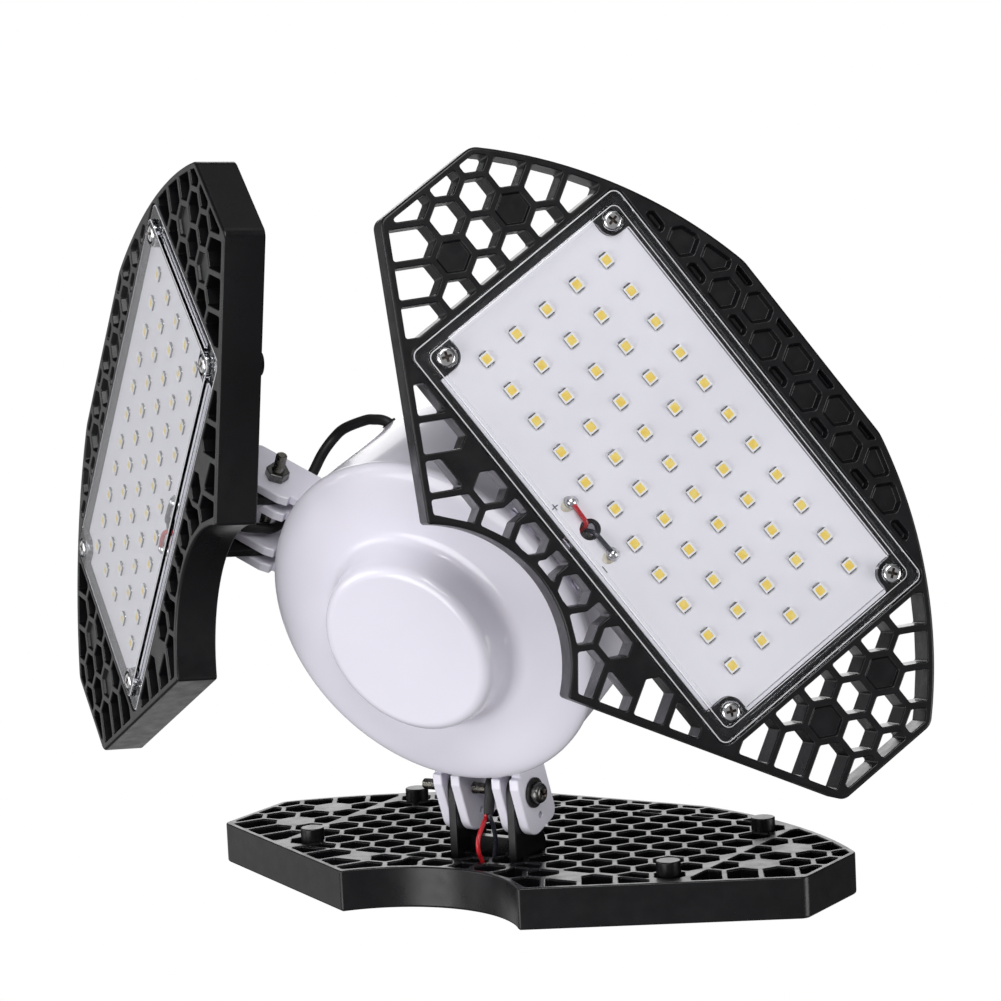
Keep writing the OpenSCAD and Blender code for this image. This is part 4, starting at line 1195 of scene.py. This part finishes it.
def wire_path(w, s, n=8):
    t = FOLD[w]
    e = np.array([57.12, -2.1, zz(6.39)])
    if s > 0:
        top = [(1.9, 48.9, -18.4), (2.0, 51.8, -15.2), (2.0, 52.1, -11.8)] if t > 60 else [(1.8, 45.9, -15.9), (2.0, 49.0, -13.7), (2.0, 51.0, -11.4)]
        low = RED_LOW
    else:
        top = [(3.1, 46.1, -17.4)] if t > 60 else [(3.1, 44.8, -16.6)]
        low = BLACK_LOW
    return cr([e + [0, 0.62 * s, 0], e + [0.9, 0.64 * s, -0.7]] + [w2h(p, t) for p in top + low], n)


for w in W:
    H = hub_at(w)
    B = Build()
    B.T = H
    tube(B, SH, 1.4, 20, 0)
    sheath = put("lead_sheath_" + w, B, [RUBBER], None, "sheath_" + w, "hub")
    for s, col, mat, slot in ((1, "red", RED, "wire_red"), (-1, "black", BLACKW, "wire_black")):
        B = Build()
        B.T = H
        path = wire_path(w, s)
        tube(B, path, 0.6, 14, 0)
        ob = B.object(f"{col}_lead_{w}", [mat], None, smooth=True)
        world = path @ H[:3, :3].T
        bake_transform(ob)
        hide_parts(f"{col}_wire_{w}")
    path = SH @ H[:3, :3].T * 0.001

# ------------------------------------------------------------------ finishes of the CAD pieces that stay
for name, m in {"driver_board": GREEN, "driver_capacitors": SLEEVE, "driver_transformer": TAPE, "driver_rectifier": CHIPB, "driver_chips": CHIPB,
                "driver_film_capacitor": RESIN, "driver_screws": CHROME, "mains_wires": BLACKW, "base_insulator": GLAZE, "base_contact": SOLDER,
                "lead_grommets": RUBBER}.items():
    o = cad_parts[name]
    for sl in o.material_slots:
        sl.material = m
    if not o.material_slots:
        o.data.materials.append(m)

# ------------------------------------------------------------------ stage, world and lights
floor_me = bpy.data.meshes.new("floor")
floor_me.from_pydata([(-8, -8, -2.6), (8, -8, -2.6), (8, 8, -2.6), (-8, 8, -2.6)], [], [(0, 1, 2, 3)])
floor = bpy.data.objects.new("floor", floor_me)
scene.collection.objects.link(floor)
fm, nt, out = new_mat("floor_paper")
d = nt.nodes.new("ShaderNodeBsdfDiffuse")
tc = nt.nodes.new("ShaderNodeTexCoord")
nt.links.new(ramp(nt, noise(nt, tc.outputs["Object"], 3, 2), (0.9, 0.9, 0.9), (0.93, 0.93, 0.93)), d.inputs["Color"])
nt.links.new(d.outputs["BSDF"], out.inputs["Surface"])
floor_me.materials.append(fm)

world = bpy.data.worlds.new("studio")
scene.world = world
world.use_nodes = True
world.cycles.sampling_method = "NONE"
nt = world.node_tree
nt.nodes.clear()
wo = nt.nodes.new("ShaderNodeOutputWorld")
b1 = nt.nodes.new("ShaderNodeBackground"); b1.inputs["Color"].default_value = (1, 1, 1, 1); b1.inputs["Strength"].default_value = 1.0
b2 = nt.nodes.new("ShaderNodeBackground"); b2.inputs["Color"].default_value = (0.97, 0.97, 1.0, 1); b2.inputs["Strength"].default_value = 0.27
b3 = nt.nodes.new("ShaderNodeBackground"); b3.inputs["Color"].default_value = (0.96, 0.96, 1.0, 1); b3.inputs["Strength"].default_value = 0.09
lp = nt.nodes.new("ShaderNodeLightPath")
m0 = nt.nodes.new("ShaderNodeMixShader")
nt.links.new(lp.outputs["Is Glossy Ray"], m0.inputs["Fac"])
nt.links.new(b2.outputs["Background"], m0.inputs[1])
nt.links.new(b3.outputs["Background"], m0.inputs[2])
mx = nt.nodes.new("ShaderNodeMixShader")
nt.links.new(lp.outputs["Is Camera Ray"], mx.inputs["Fac"])
nt.links.new(m0.outputs["Shader"], mx.inputs[1])
nt.links.new(b1.outputs["Background"], mx.inputs[2])
nt.links.new(mx.outputs["Shader"], wo.inputs["Surface"])


def area_light(name, right, up, back, size, power, target=(0, 0, -0.07), color=(1, 1, 1), size_y=None):
    """A soft light placed from the camera's own directions, in metres round the object."""
    l = bpy.data.lights.new(name, "AREA")
    l.shape = "RECTANGLE"
    l.size, l.size_y = size, size_y or size
    l.energy = power
    l.color = color
    o = bpy.data.objects.new(name, l)
    scene.collection.objects.link(o)
    p = Vector(target) + Vector(CR * right + CU * up + CB * back)
    o.location = p
    o.rotation_mode = "QUATERNION"
    o.rotation_quaternion = (Vector(target) - p).to_track_quat("-Z", "Y")
    return o


area_light("key_top", -0.02, 0.90, 1.38, 0.9, 16.5)
area_light("key_left", -0.94, -0.5, 0.95, 0.9, 9.5)
area_light("fill_left", -1.5, 0.1, 0.05, 0.9, 7.5, color=(0.97, 0.97, 1.0))
area_light("fill_right", 1.35, -0.2, 0.45, 0.8, 9.0, color=(1.0, 0.99, 0.98))
area_light("top", 0.2, 1.4, 0.2, 0.9, 1.5)
# white panels behind the object, seen only in its glossy surfaces
for nm, a, b, c, sz, szy, pw in (("panel_up", 0.0, 0.72, -1.86, 1.5, 0.9, 8.0), ("panel_left", -1.3, -0.05, -1.2, 1.3, 1.3, 2.4),
                                 ("panel_low", 0.16, -1.0, -1.7, 1.5, 0.9, 2.4)):
    o = area_light(nm, a, b, c, sz, pw, size_y=szy)
    o.visible_camera = False
    o.visible_diffuse = False

scene.view_settings.view_transform = "Standard"
scene.view_settings.look = "None"
scene.view_settings.exposure = 0
scene.view_settings.gamma = 1
scene.cycles.use_denoising = True
scene.cycles.max_bounces = 12
scene.cycles.transmission_bounces = 12
scene.cycles.transparent_max_bounces = 12
scene.cycles.caustics_reflective = False
scene.cycles.caustics_refractive = False
